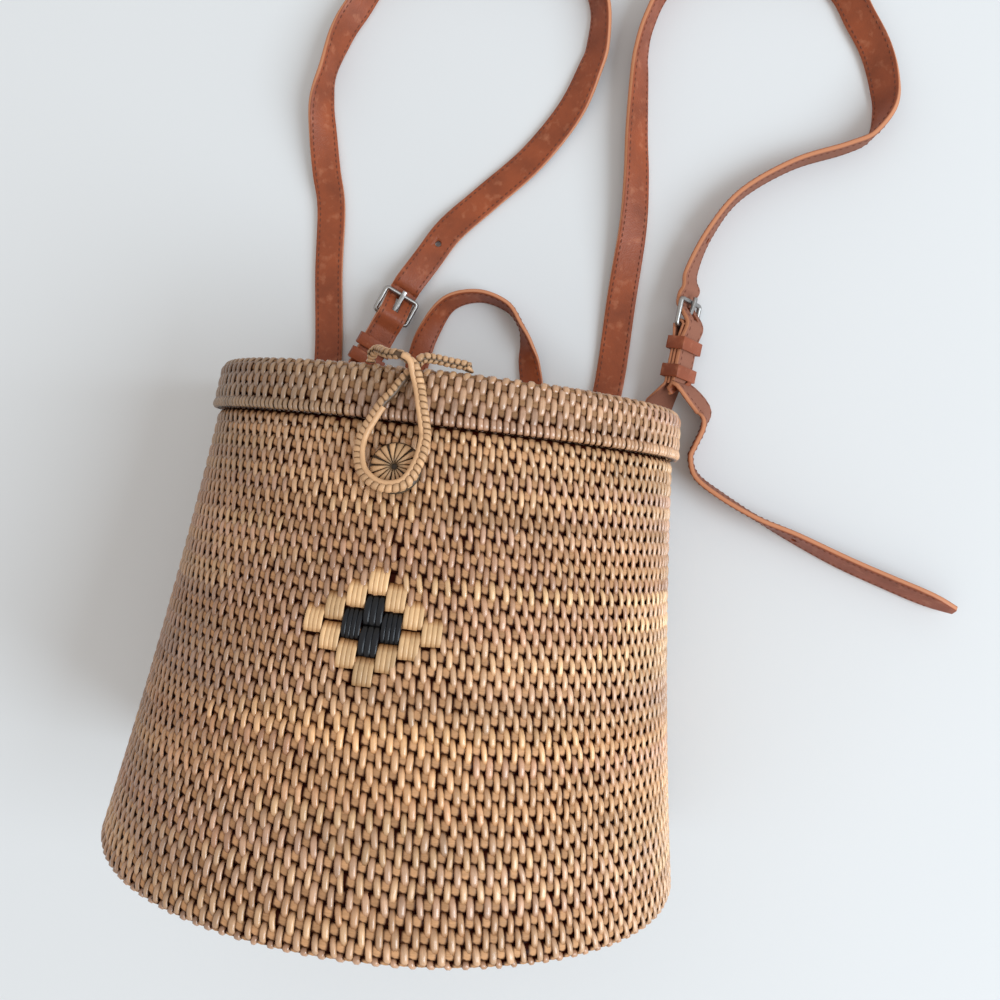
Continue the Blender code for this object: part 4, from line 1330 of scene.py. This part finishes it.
class PACKBASKET_OT_lid(SceneOperator):
    """Weaves the lid: its band, rolled edge and flat top"""

    bl_idname = "pack_basket.lid"
    bl_label = "Lid"

    def execute(self, context):
        _, colours = self.settings()
        palette = self.palette(colours) * np.array((0.96, 0.92, 0.92))
        core = self.core(colours, 0.60)
        rng = np.random.default_rng(19)
        start, _ = shares_where(LID, 0.004, lambda x, z: z > BAND_END)
        start = math.ceil(start * 4 * LID_COLUMNS) / (4 * LID_COLUMNS)
        span = (start, 1 - start)
        steps = round(4 * LID_COLUMNS * (1 - 2 * start))
        band_rows = [LID_PITCH * (step + 0.5) for step in range(4)]
        self.coiled(
            "lid_band_coils", "lid", ["lid_band"], LID, band_rows, LID_PITCH, span,
            -0.0006, -0.0044, core, steps, 0.0023, LID_COLUMNS, 1,
        )
        back_low = 0.2036 - BAND_LOW
        back_pitch = 4 * LID_PITCH - back_low
        self.coiled(
            "lid_back_coil", "lid", (), LID, [back_low + back_pitch / 2], back_pitch,
            (span[1] - 1, span[0]), -0.0007, -0.0036, core, 80, 0.0012,
        )
        top_rows = np.arange(4.5 * LID_PITCH, LID.places[-1] - LID_PITCH / 2, LID_PITCH)
        self.coiled(
            "lid_top_coils", "lid", ["lid_top"], LID, list(top_rows), LID_PITCH, (0.0, 1.0),
            -0.0009, -0.0036, core, 170, 0.0020,
        )

        def row(count, phase, jitter):
            """Shares and colours of a row that shows, in painted shade towards its left."""
            around = even_shares(count, phase, rng, jitter)
            # Painted shade: the lid's reed darker towards the left, lighter towards the right, where the
            # light falls
            tone = 0.36 + 0.66 * painted_light_share(around)
            return around, reed_lengths(count, rng, palette) * tone[:, None]

        def on_band(around, margin):
            return (around > span[0] + margin) & (around < span[1] - margin)

        spots = Spots()
        hem = Spots()
        around, tint = row(2 * LID_COLUMNS, 0.5, 0.08)
        keep = on_band(around, 0.002)
        hem.add(around[keep], 0.0018, 0.0023, 0.0062, 0.10, -0.00045, tint[keep])
        for number, along in enumerate(band_rows[1:]):
            around, tint = row(LID_COLUMNS, 0.25 + 0.5 * (number % 2), STITCH_JITTER)
            keep = on_band(around, 0.003)
            length = 0.0082 * rng.normal(1.0, 0.05, LID_COLUMNS)
            width = 0.00275 * rng.normal(1.0, 0.05, LID_COLUMNS)
            spots.add(around[keep], along - 0.0002, width[keep], length[keep], 0.0, -0.0006, tint[keep])
        around = even_shares(LID_COLUMNS, 0.5)
        behind = (around < span[0]) | (around > span[1])
        tint = reed_lengths(LID_COLUMNS, rng, palette)
        spots.add(around[behind], back_low + 0.0026, 0.0027, 0.0050, 0.0, -0.0006, tint[behind])
        for number, along in enumerate(top_rows):
            count = columns_at(LID, along, 0.0054, 20) if number else LID_COLUMNS
            around, tint = row(count, 0.75 - 0.5 * (number % 2), STITCH_JITTER)
            width = 0.0027 * rng.normal(1.0, 0.05, count)
            spots.add(around, along, width, 0.0082, 0.0, -0.0006, tint)
        self.stitched("lid_stitches", "lid", LID, spots, unit_reed(6, 6, 0.9), 0.0012, 0.0009, 0.0014)
        self.stitched("lid_hem", "lid", LID, hem, unit_reed(6, 6, 0.7), 0.0012, 0.0022, 0.0010)

        under = Spots()
        for number, along in enumerate(band_rows):
            around = even_shares(LID_COLUMNS, 0.5 * (number % 2))
            keep = on_band(around, 0.003)
            tint = reed_lengths(LID_COLUMNS, rng, palette) * LINING_TONE
            under.add(around[keep], along, 0.0026, 0.0072, 0.04, -0.0046, tint[keep])
        for number, along in enumerate(top_rows[2:]):
            count = columns_at(LID, along, 0.0056, 20)
            tint = reed_lengths(count, rng, palette) * LINING_TONE
            around = even_shares(count, 0.5 * (number % 2))
            under.add(around, along, 0.0026, 0.0078, 0.04, -0.0039, tint)
        self.stitched("lid_lining", "lid", LID, under, unit_reed(5, 3), 0.0009, inside=True)

        reach = (TOP_DEPTH + LID_OVERHANG) / 2
        half = TOP_WIDTH / 2 + LID_OVERHANG - reach + 0.002
        points = [(x, BASE_Y + BASKET_HEIGHT - 0.0026, reach) for x in np.linspace(-half, half, 24)]
        self.tube("lid_middle_coil", "lid", (), points, 0.0023, 12, colours.honey)
        return {"FINISHED"}


class PACKBASKET_OT_collar(SceneOperator):
    """Binds the collar that the lid closes over, and lashes the lid to the back wall"""

    bl_idname = "pack_basket.collar"
    bl_label = "Collar and lashings"

    def execute(self, context):
        _, colours = self.settings()
        palette = self.palette(colours)
        rng = np.random.default_rng(23)
        pitch = 0.0046
        low = 0.1778 - EDGE_RADIUS
        rows = [low + pitch * (step + 0.5) for step in range(4)]
        self.coiled(
            "collar_coils", "basket", ["rim_collar"], BODY, rows, pitch, (0.0, 1.0),
            -0.0055, -0.0067, self.core(colours), 160, 0.0006,
        )
        inner = Spots()
        over = Spots()
        for number, along in enumerate(rows):
            around = even_shares(COLLAR_COLUMNS, 0.5 * (number % 2))
            tint = reed_lengths(COLLAR_COLUMNS, rng, palette)
            inner.add(around, along, 0.0024, 0.0052, 0.12, -0.0069, tint)
            if number > 1:
                over.add(around, along, 0.0024, 0.0050, 0.12, -0.0053, tint)
        flat = (unit_reed(5, 3), 0.0007, 0.0003, 0.0003)
        self.stitched("collar_lining", "basket", BODY, inner, *flat, inside=True)
        self.stitched("collar_binding", "basket", BODY, over, *flat)

        reed = 0.0007
        outside, inside = -FIT_GAP - 0.0008, 0.0045 + FIT_GAP + 0.0008
        high = BASKET_HEIGHT + FIT_GAP + 0.0008
        bottom = BASKET_HEIGHT - 0.0048 - 0.0047
        middle = ((high + bottom) / 2, (inside + outside) / 2)
        outlined = rounded_loop((high - bottom) / 2, (inside - outside) / 2, 0.0016)
        for side, x in LASHING_PLACES.items():
            bm = bmesh.new()
            for turn in (-1, 0, 1):
                across = x + turn * 0.0017
                points = [(across, BASE_Y + middle[0] + y, middle[1] + z) for y, z in outlined]
                bm.from_mesh(tube_mesh("turn", points, reed, 8, closed=True, tint=colours.honey[:]))
            name = f"lashing_{side}"
            obj = add_piece(name, mesh_from(bm, name), "loop_reed", None, [f"hinge_{name}"])
            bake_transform(obj)
        return {"FINISHED"}


class PACKBASKET_OT_motif(SceneOperator):
    """Wraps the small diamond and its dark cross on the front"""

    bl_idname = "pack_basket.motif"
    bl_label = "Diamond"

    def execute(self, context):
        _, colours = self.settings()
        rng = np.random.default_rng(31)
        groups = {"pale": Spots(), "dark": Spots()}
        for row, blocks in MOTIF_BLOCKS:
            height = MOTIF_CENTRE[1] + row * MOTIF_STEP[1]
            along = height - EDGE_RADIUS
            for column, black in blocks:
                count = 4 if column or not black else 3
                width = MOTIF_STEP[0] * 0.97 / count
                tone = rng.normal(1.0, 0.07)
                for strand in range(count):
                    x = MOTIF_CENTRE[0] + column * MOTIF_STEP[0] + (strand - (count - 1) / 2) * width
                    around = share_round(BODY, along, x)
                    name = "dark" if black else "pale"
                    colour = np.array((colours.black if black else colours.pale)[:])
                    colour = colour * rng.normal(1.0, 0.06)
                    if not black:
                        colour = colour * (0.86 + 0.05 * row) * tone * np.array((1.0, 0.97, 0.95))
                    length = (0.0109 if black else 0.0101) * rng.normal(1.0, 0.02)
                    lift = -0.0003 + rng.normal(0, 0.00006)
                    groups[name].add([around], along - 0.0003, width * 1.12, length, 0.0, lift, [colour])
        for name, spots in groups.items():
            name = f"diamond_{name}"
            mesh = lay_stitches(name, BODY, spots, unit_reed(8, 7, 0.97), 0.0009, 0.0009, 0.0012)
            add_piece(name, mesh, "loop_reed", "basket")
        return {"FINISHED"}


def loop_route():
    """The closure loop's middle line, from its left root over the lid's edge and back to its right root."""
    root_z = front_surface(0.0, BASKET_HEIGHT) - LOOP_ROOT_BACK
    on_lid = BASKET_HEIGHT + ROPE_RADIUS + FIT_GAP
    left, right = (share * LOOP_HALF for share in LOOP_ROOTS)
    route = [(left, BASKET_HEIGHT + FIT_GAP, root_z), (left, on_lid, root_z)]
    for x, back, rise in LOOP_RISE:
        route.append((x * LOOP_HALF, on_lid + rise * ROPE_RADIUS, root_z + back * LOOP_ROOT_BACK))
    for x, drop, clear in LOOP_FRONT:
        x, height = x * LOOP_HALF, BASKET_HEIGHT - drop * LOOP_LENGTH
        route.append((x, height, front_surface(x, height) + ROPE_RADIUS + FIT_GAP + clear * ROPE_RADIUS))
    for x, back, rise in LOOP_FALL:
        route.append((x * LOOP_HALF, on_lid + rise * ROPE_RADIUS, root_z + back * LOOP_ROOT_BACK))
    route += [(right, on_lid, root_z), (right, BASKET_HEIGHT + FIT_GAP, root_z)]
    points = smooth_route(route, 10)
    points[:, 1] += BASE_Y
    return points


class PACKBASKET_OT_closure(SceneOperator):
    """Bends and wraps the loop that closes the lid"""

    bl_idname = "pack_basket.closure"
    bl_label = "Closure loop"

    def execute(self, context):
        _, colours = self.settings()
        rng = np.random.default_rng(41)
        points = loop_route()
        run = run_along(points)
        even = np.linspace(0, run[-1], 260)
        points = read_at(even, run, points)
        run = even
        ahead = np.gradient(points, axis=0)
        ahead /= np.linalg.norm(ahead, axis=1, keepdims=True)
        top = np.clip((points[:, 1] - (BASE_Y + 0.2035)) / 0.006, 0, 1)
        out = np.stack([0 * top, 0.22 + top * 0.9, 1.0 - 0.75 * top], axis=1)
        out -= ahead * (out * ahead).sum(axis=1, keepdims=True)
        out /= np.linalg.norm(out, axis=1, keepdims=True)
        inner = np.cross(ahead, out)
        pale = np.array(colours.pale[:]) * np.array((0.84, 0.76, 0.76))
        # Painted shade: the core is near black, to stand for the shade that shows between the wraps
        self.tube("loop_core", "loop", ["closure_loop"], points, 0.0013, 10, pale * 0.16)

        left_end, right_end = 0.026, run[-1] - 0.025
        keep = (run > left_end) & (run < 0.74 * run[-1])
        reed = points[keep] + inner[keep] * 0.0011 + out[keep] * 0.0005
        self.tube("loop_inner_reed", "loop", (), reed, 0.0012, 10, pale * 1.02)

        places = np.arange(0.0010, run[-1] - 0.0008, WRAP_PITCH)
        tint = np.clip(pale * rng.normal(0.93, 0.07, (len(places), 1)), 0, 1)
        whole = (places < left_end) | (places > right_end)
        thick = np.where(whole, 1.06, 1.0)
        sweep = np.radians(np.where(whole, 175, 124))

        def shape(unit_points, which):
            a, b, c = unit_points.T
            place = places[which] + a * 0.00245 + 0.0016 * b
            angle = np.radians(84) + 2 * b * sweep[which]
            radius = (0.0016 + c * 0.0007 + 0.00015 * np.cos(2 * np.pi * b)) * thick[which]
            shift = np.where(whole[which], 0.0, 0.0003)
            left = -read_at(place, run, inner) * (np.sin(angle) * radius + shift)[:, None]
            up = read_at(place, run, out) * (np.cos(angle) * radius)[:, None]
            fibre = np.stack([a * 0.002 + which * 0.37, b * 0.008, 0 * a], axis=1)
            # Painted shade: each wrap darker at its ends, where it tucks under the loop, and at its sides,
            # between neighbouring wraps
            dark = 1 - 0.45 * np.abs(2 * b) ** 4 - 0.5 * np.clip(np.abs(2 * a) - 0.6, 0, 1)
            return read_at(place, run, points) + left + up, reed_marks(tint[which] * dark[:, None], fibre)

        mesh = repeated("loop_wraps", unit_reed(6, 10, 0.7), len(places), shape)
        add_piece("loop_wraps", mesh, "loop_reed", "loop")
        return {"FINISHED"}


class PACKBASKET_OT_button(SceneOperator):
    """Winds the domed button that the loop lies over"""

    bl_idname = "pack_basket.button"
    bl_label = "Button"

    def execute(self, context):
        _, colours = self.settings()
        rng = np.random.default_rng(43)
        lean = math.atan2(BASE_DEPTH - TOP_DEPTH, BASKET_HEIGHT)
        outward = np.array((0.0, math.sin(lean), math.cos(lean)))
        x, height = BUTTON_PLACE
        seat = np.array((x, BASE_Y + height, front_surface(x, height)))
        right = np.array((1.0, 0.0, 0.0))
        up = np.cross(outward, right)
        pale = np.array(colours.pale[:]) * np.array((0.90, 0.84, 0.84))

        def dome(radius):
            """How high the button is at a distance from its middle, with the dimple there."""
            share = np.clip(radius / BUTTON_RADIUS, 0, 1)
            return 0.0018 + 0.0030 * (1 - share**2) - 0.0030 * np.clip(1 - radius / 0.0020, 0, 1)

        def marked(mesh, tone):
            points = points_of(mesh)
            set_marks(mesh, reed_marks(np.tile(pale * tone, (len(points), 1)), points))
            return mesh

        rim = BUTTON_RADIUS - 0.0007
        profile = [(0.0, 0.0004), (rim - 0.0008, 0.0004), (rim, 0.0010)]
        for step in range(7):
            radius = rim * (1 - 0.85 * step / 6)
            profile.append((radius, float(dome(radius)) - 0.0008))
        profile.append((0.0, 0.0006))
        bm = bmesh.new()
        verts = [bm.verts.new((r, 0.0, h)) for r, h in profile]
        edges = [bm.edges.new(pair) for pair in zip(verts, verts[1:])]
        bmesh.ops.spin(
            bm, geom=verts + edges, angle=2 * math.pi, steps=36, axis=(0, 0, 1), cent=(0, 0, 0),
            use_merge=True,
        )
        bmesh.ops.remove_doubles(bm, verts=bm.verts, dist=0.00001)
        turn = Matrix((Vector(right), Vector(up), Vector(outward))).transposed().to_4x4()
        bmesh.ops.transform(bm, matrix=Matrix.Translation(Vector(seat)) @ turn, verts=bm.verts)
        bmesh.ops.recalc_face_normals(bm, faces=bm.faces)
        # Painted shade: the core is near black, to stand for the shade that shows between the petals
        mesh = marked(mesh_from(bm, "button_core"), 0.10)
        add_piece("button_core", mesh, "loop_reed", "basket", ["button_head"])

        tint = np.clip(pale * rng.normal(0.90, 0.08, (PETALS, 1)), 0, 1)
        jitter = rng.normal(0, 0.05, PETALS)

        def shape(unit_points, which):
            a, b, c = unit_points.T
            share = b + 0.5
            radius = 0.0010 + (BUTTON_RADIUS - 0.0004) * share
            fold = np.clip(radius - (BUTTON_RADIUS - 0.0012), 0, None)
            flat = radius - fold
            angle = 2 * math.pi * (which + jitter[which]) / PETALS + 0.04 * (1 - share)
            sideways = a * 2 * np.minimum(math.pi / PETALS * flat * 0.80, 0.00125)
            high = dome(flat) - fold * 1.6 + c * 0.0009
            x_part = np.cos(angle) * flat - np.sin(angle) * sideways
            y_part = np.sin(angle) * flat + np.cos(angle) * sideways
            spot = seat + right * x_part[:, None] + up * y_part[:, None] + outward * high[:, None]
            fibre = np.stack([a * 0.003 + which * 0.31, b * 0.012, 0 * a], axis=1)
            # Painted shade: the petals darker towards the middle, down in the dimple
            dark = 1 - 0.75 * np.clip(1 - share / 0.35, 0, 1)
            return spot, reed_marks(tint[which] * dark[:, None], fibre)

        mesh = repeated("button_reeds", unit_reed(6, 9, 0.8), PETALS, shape)
        add_piece("button_reeds", mesh, "loop_reed", "basket")
        # Painted shade: the tie is near black, to stand for the shade in the dimple
        mesh = marked(eased_copy("button_stem", "button_tie", 0.0003), 0.05)
        add_piece("button_tie", mesh, "loop_reed", "basket", ["button_stem"])
        return {"FINISHED"}


def strap_stations(stack):
    """The shoulder strap's stations, dense along its way, and the number of them before the buckle."""
    name = stack.name
    layer = -FIT_GAP - STRAP_THICKNESS / 2
    x = STRAP_RIVETS[name]
    heights = (RIVET_HEIGHT - END_MARGIN, RIVET_HEIGHT, RIM_HEIGHT)
    route = [(Vector((x, BASE_Y + y, layer)), 0.0) for y in heights]
    route += [lying(*shares, stack.width, STRAP_THICKNESS) for shares in STRAP_ROUTES[name]]
    under = BUCKLE_WIRE + FIT_GAP + STRAP_THICKNESS / 2
    over = FOLD_RADIUS + FIT_GAP + STRAP_THICKNESS / 2
    way = -stack.face * stack.across()
    crossing = len(route)
    for along, height in (
        (BUCKLE_REACH + 2.6 * under, -0.55 * under),
        (BUCKLE_REACH + 1.2 * under, -1.05 * under),
        (BUCKLE_REACH, -1.12 * under),
        (BUCKLE_REACH - 0.9 * under, -0.9 * under),
        (BUCKLE_REACH / 2, 0.22 * over),
        (BUCKLE_REACH / 4, 0.80 * over),
        (0.0, 1.02 * over),
    ):
        route.append((stack.point(0.0, along, height), way))
    tail = name == "right"
    for along in reversed(stack.samples() if tail else stack.samples()[1:]):
        route.append((stack.point(along, 0.0, TAIL_OFFSET), way))
    if tail:
        route.append((stack.point(stack.foot, 0.0, TAIL_OFFSET + TAIL_LIFT), way))
        route += [lying(*shares, stack.width, STRAP_THICKNESS) for shares in TAIL_ROUTE]
    steps = 6
    return stations_of(route, steps), crossing * steps


def punch(stations, i, radius):
    """A cutter for a round hole through a strip at one of its stations."""
    points, _, normals = stations
    reach = normals[i] * 0.005
    return cylinder(points[i] - reach, points[i] + reach, radius)


class PACKBASKET_OT_straps(SceneOperator):
    """Cuts and sews the two shoulder straps and the folded straps that hold their buckles"""

    bl_idname = "pack_basket.straps"
    bl_label = "Straps"

    def execute(self, context):
        sizes, _ = self.settings()
        for side in ("left", "right"):
            stack = Stack(side, sizes.strap_width)
            stations, last = strap_stations(stack)
            run = run_along(stations[0])
            name = f"strap_{side}"
            tip = STRAP_TIP * (2.2 if side == "right" else 1.0)
            mesh = leather_strip(name, stations, stack.width, STRAP_THICKNESS, (0.0, tip))
            obj = add_piece(name, mesh, "strap_leather", "basket", [f"shoulder_{name}"])
            hole = int(np.searchsorted(run, run[last - 1] - HOLE_BACK, side="right")) - 1
            cutters = [punch(stations, hole, 0.0016)]
            half = PRONG_WIDTH / 2 + SLOT_CLEARANCE
            middle = Matrix.Translation(Vector((0.0, BUCKLE_REACH * 0.46, 0.0)))
            low, high = (-half, -0.0045, -0.005), (half, 0.0045, 0.005)
            cutters.append(slot_box(stack.place(0.0) @ middle, low, high))
            if side == "right":
                for back in TAIL_HOLES:
                    cutters.append(punch(stations, int(np.searchsorted(run, run[-1] - back)), 0.0015))
            cut(obj, cutters)
            inset = stack.width / 2 - 0.0019
            self.sewn(f"strap_sewing_{side}", stations, inset, STRAP_THICKNESS, 0.012)
            self.anchor(stack)
        return {"FINISHED"}

    def anchor(self, stack):
        """The folded strap: one ply up the back, round the buckle's bar and back over itself."""
        foot = ANCHOR_FEET[stack.name]
        edge_x = foot + (stack.place(stack.foot).translation.x - foot) * 0.6
        flat = Vector((1.0, 0.0, 0.0))
        layer = -FIT_GAP - ANCHOR_THICKNESS / 2
        rise = BASKET_HEIGHT + FIT_GAP - ANCHOR_RIVET_HEIGHT
        route = [(Vector((foot, BASE_Y + ANCHOR_RIVET_HEIGHT - END_MARGIN, layer)), flat)]
        for step in range(5):
            part = step / 4
            y = BASE_Y + ANCHOR_RIVET_HEIGHT + rise * part
            route.append((Vector((foot + (edge_x - foot) * part, y, layer)), flat))
        ply = ANCHOR_THICKNESS / 2
        bend = BUCKLE_WIRE + FIT_GAP + ply
        way = stack.across()
        behind = stack.samples()[:-1]
        route += [(stack.point(along, 0.0, -ply), way) for along in behind]
        for degrees in range(0, 181, 20):
            angle = math.radians(degrees)
            route.append((stack.point(0.0, bend * math.sin(angle), -bend * math.cos(angle)), way))
        route += [(stack.point(along, 0.0, ply + 0.0001), way) for along in reversed(behind)]
        name = f"anchor_{stack.name}"
        mesh = leather_strip(
            name, stations_of(route, 3), stack.width - 0.0004, ANCHOR_THICKNESS, grain_up=False
        )
        obj = add_piece(name, mesh, "strap_leather", "basket", [f"anchor_strap_{stack.name}"])
        side = PRONG_WIDTH / 2 + SLOT_CLEARANCE
        reach = 2 * FOLD_RADIUS
        cut(obj, [slot_box(stack.place(0.0), (-side, -0.0026, -reach), (side, reach, reach))])


class PACKBASKET_OT_handle(SceneOperator):
    """Cuts and sews the short carrying handle"""

    bl_idname = "pack_basket.handle"
    bl_label = "Handle"

    def execute(self, context):
        layer = -FIT_GAP - HANDLE_THICKNESS / 2
        heights = (RIVET_HEIGHT - END_MARGIN, RIVET_HEIGHT, RIM_HEIGHT)
        route = [(Vector((-HANDLE_FOOT, BASE_Y + y, layer)), 0.0) for y in heights]
        for shares in HANDLE_ROUTE:
            route.append(lying(*shares, HANDLE_WIDTH, HANDLE_THICKNESS, HANDLE_FOOT, HANDLE_ARCH))
        route += [(Vector((HANDLE_FOOT, BASE_Y + y, layer)), 0.0) for y in reversed(heights)]
        stations = stations_of(route, 8)
        mesh = leather_strip("handle", stations, HANDLE_WIDTH, HANDLE_THICKNESS, (0.004, 0.004))
        add_piece("handle", mesh, "strap_leather", "basket", ["carry_handle"])
        self.sewn("handle_sewing", stations, HANDLE_WIDTH / 2 - 0.0017, HANDLE_THICKNESS, 0.010)
        return {"FINISHED"}


class PACKBASKET_OT_buckles(SceneOperator):
    """Bends the buckles' wire frames, and finishes their prongs, the keepers and the rivets"""

    bl_idname = "pack_basket.buckles"
    bl_label = "Buckles, keepers and rivets"

    def execute(self, context):
        sizes, _ = self.settings()
        half = BUCKLE_OPENING / 2 + BUCKLE_WIRE / 2
        outlined = rounded_loop(half, BUCKLE_REACH / 2, BUCKLE_CORNER)
        for side in ("left", "right"):
            stack = Stack(side, sizes.strap_width)
            points = [stack.point(0.0, y + BUCKLE_REACH / 2, 0.0, x) for x, y in outlined]
            name = f"buckle_wire_{side}"
            mesh = tube_mesh(name, points, BUCKLE_WIRE, 14, closed=True)
            add_piece(name, mesh, "buckle_steel", f"buckle_{side}", [f"buckle_frame_{side}"])
            name = f"prong_{side}"
            mesh = eased_copy(f"buckle_{name}", name, 0.00025)
            add_piece(name, mesh, "buckle_steel", name, [f"buckle_{name}"])
            for label, body in (("fixed", "basket"), ("sliding", f"keeper_{side}")):
                name = f"loop_{label}_{side}"
                node = f"keeper_{label}_{side}"
                mesh = eased_copy(node, name, 0.0004, 3)
                points = points_of(mesh)
                plain = np.zeros(len(points))
                set_marks(mesh, leather_marks(points, plain, plain))
                add_piece(name, mesh, "strap_leather", body, [node])
        for node in sorted(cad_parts):
            if node.startswith("rivet_"):
                mesh = eased_copy(node, f"set_{node}", 0.0003, 3)
                add_piece(f"set_{node}", mesh, "rivet_brass", "basket", [node])
        return {"FINISHED"}


class PACKBASKET_OT_stage(SceneOperator):
    """Sets the floor, the lamp, the world and the camera"""

    bl_idname = "pack_basket.stage"
    bl_label = "Stage"

    def execute(self, context):
        _, colours = self.settings()
        scene = context.scene
        bm = bmesh.new()
        bmesh.ops.create_grid(bm, x_segments=1, y_segments=1, size=FLOOR_SIZE)
        bmesh.ops.translate(bm, vec=(0.0, 0.0, FLOOR_LEVEL), verts=bm.verts)
        mesh = mesh_from(bm, "floor")
        mesh.materials.append(matt_material("pale_floor", colours.floor, 3.0, 3.0, 0.03, 0.75))
        floor = bpy.data.objects.new("floor", mesh)
        scene.collection.objects.link(floor)

        light = bpy.data.lights.new("window", "AREA")
        light.energy = LAMP_POWER
        light.color = LAMP_COLOUR
        light.size = LAMP_SIZE
        lamp = bpy.data.objects.new("window", light)
        lamp.location = LAMP_PLACE
        aim = Vector(LAMP_AIM) - Vector(LAMP_PLACE)
        lamp.rotation_euler = aim.to_track_quat("-Z", "Y").to_euler()
        scene.collection.objects.link(lamp)

        # The camera, shine and glass see a brighter world than the one that lights the matt surfaces
        world = bpy.data.worlds.new("studio")
        world.use_nodes = True
        tree = world.node_tree
        path = tree.nodes.new("ShaderNodeLightPath").outputs
        total = worked_out(tree, "ADD", path["Is Camera Ray"], path["Is Glossy Ray"])
        either = worked_out(tree, "ADD", total, path["Is Transmission Ray"])
        strength = ranged(tree, either, 0.0, 1.0, *WORLD_STRENGTHS)
        feed(tree, tree.nodes["Background"], {"Color": WORLD_COLOUR, "Strength": strength})
        scene.world = world
        scene.view_settings.view_transform = "Standard"

        camera = bpy.data.cameras.new("camera")
        camera.sensor_width = 36.0
        camera.lens = CAMERA_LENS
        camera.clip_start = 0.01
        eye = bpy.data.objects.new("camera", camera)
        turn = Matrix(CAMERA_AXES).transposed()
        eye.matrix_world = Matrix.Translation(CAMERA_PLACE) @ turn.to_4x4()
        scene.collection.objects.link(eye)
        scene.camera = eye
        return {"FINISHED"}


class VIEW3D_PT_pack_basket(bpy.types.Panel):
    """Lists the settings and the operators that make the pieces"""

    bl_label = "Pack Basket"
    bl_idname = "VIEW3D_PT_pack_basket"
    bl_space_type = "VIEW_3D"
    bl_region_type = "UI"
    bl_category = "Pack Basket"

    def draw(self, context):
        layout = self.layout
        for group in (context.scene.pack_basket_sizes, context.scene.pack_basket_colours):
            column = layout.column()
            for key in group.__annotations__:
                column.prop(group, key)
        for operator in OPERATORS:
            layout.operator(operator.bl_idname)


OPERATORS = (
    PACKBASKET_OT_stage,
    PACKBASKET_OT_body,
    PACKBASKET_OT_base,
    PACKBASKET_OT_lid,
    PACKBASKET_OT_collar,
    PACKBASKET_OT_motif,
    PACKBASKET_OT_closure,
    PACKBASKET_OT_button,
    PACKBASKET_OT_straps,
    PACKBASKET_OT_handle,
    PACKBASKET_OT_buckles,
)
CLASSES = (PackBasketSizes, PackBasketColours, *OPERATORS, VIEW3D_PT_pack_basket)


def register():
    for cls in CLASSES:
        bpy.utils.register_class(cls)
    bpy.types.Scene.pack_basket_sizes = bpy.props.PointerProperty(type=PackBasketSizes)
    bpy.types.Scene.pack_basket_colours = bpy.props.PointerProperty(type=PackBasketColours)


def unregister():
    del bpy.types.Scene.pack_basket_colours
    del bpy.types.Scene.pack_basket_sizes
    for cls in reversed(CLASSES):
        bpy.utils.unregister_class(cls)


def main():
    register()
    for operator in OPERATORS:
        _, name = operator.bl_idname.split(".")
        getattr(bpy.ops.pack_basket, name)()


if __name__ == "__main__":
    main()
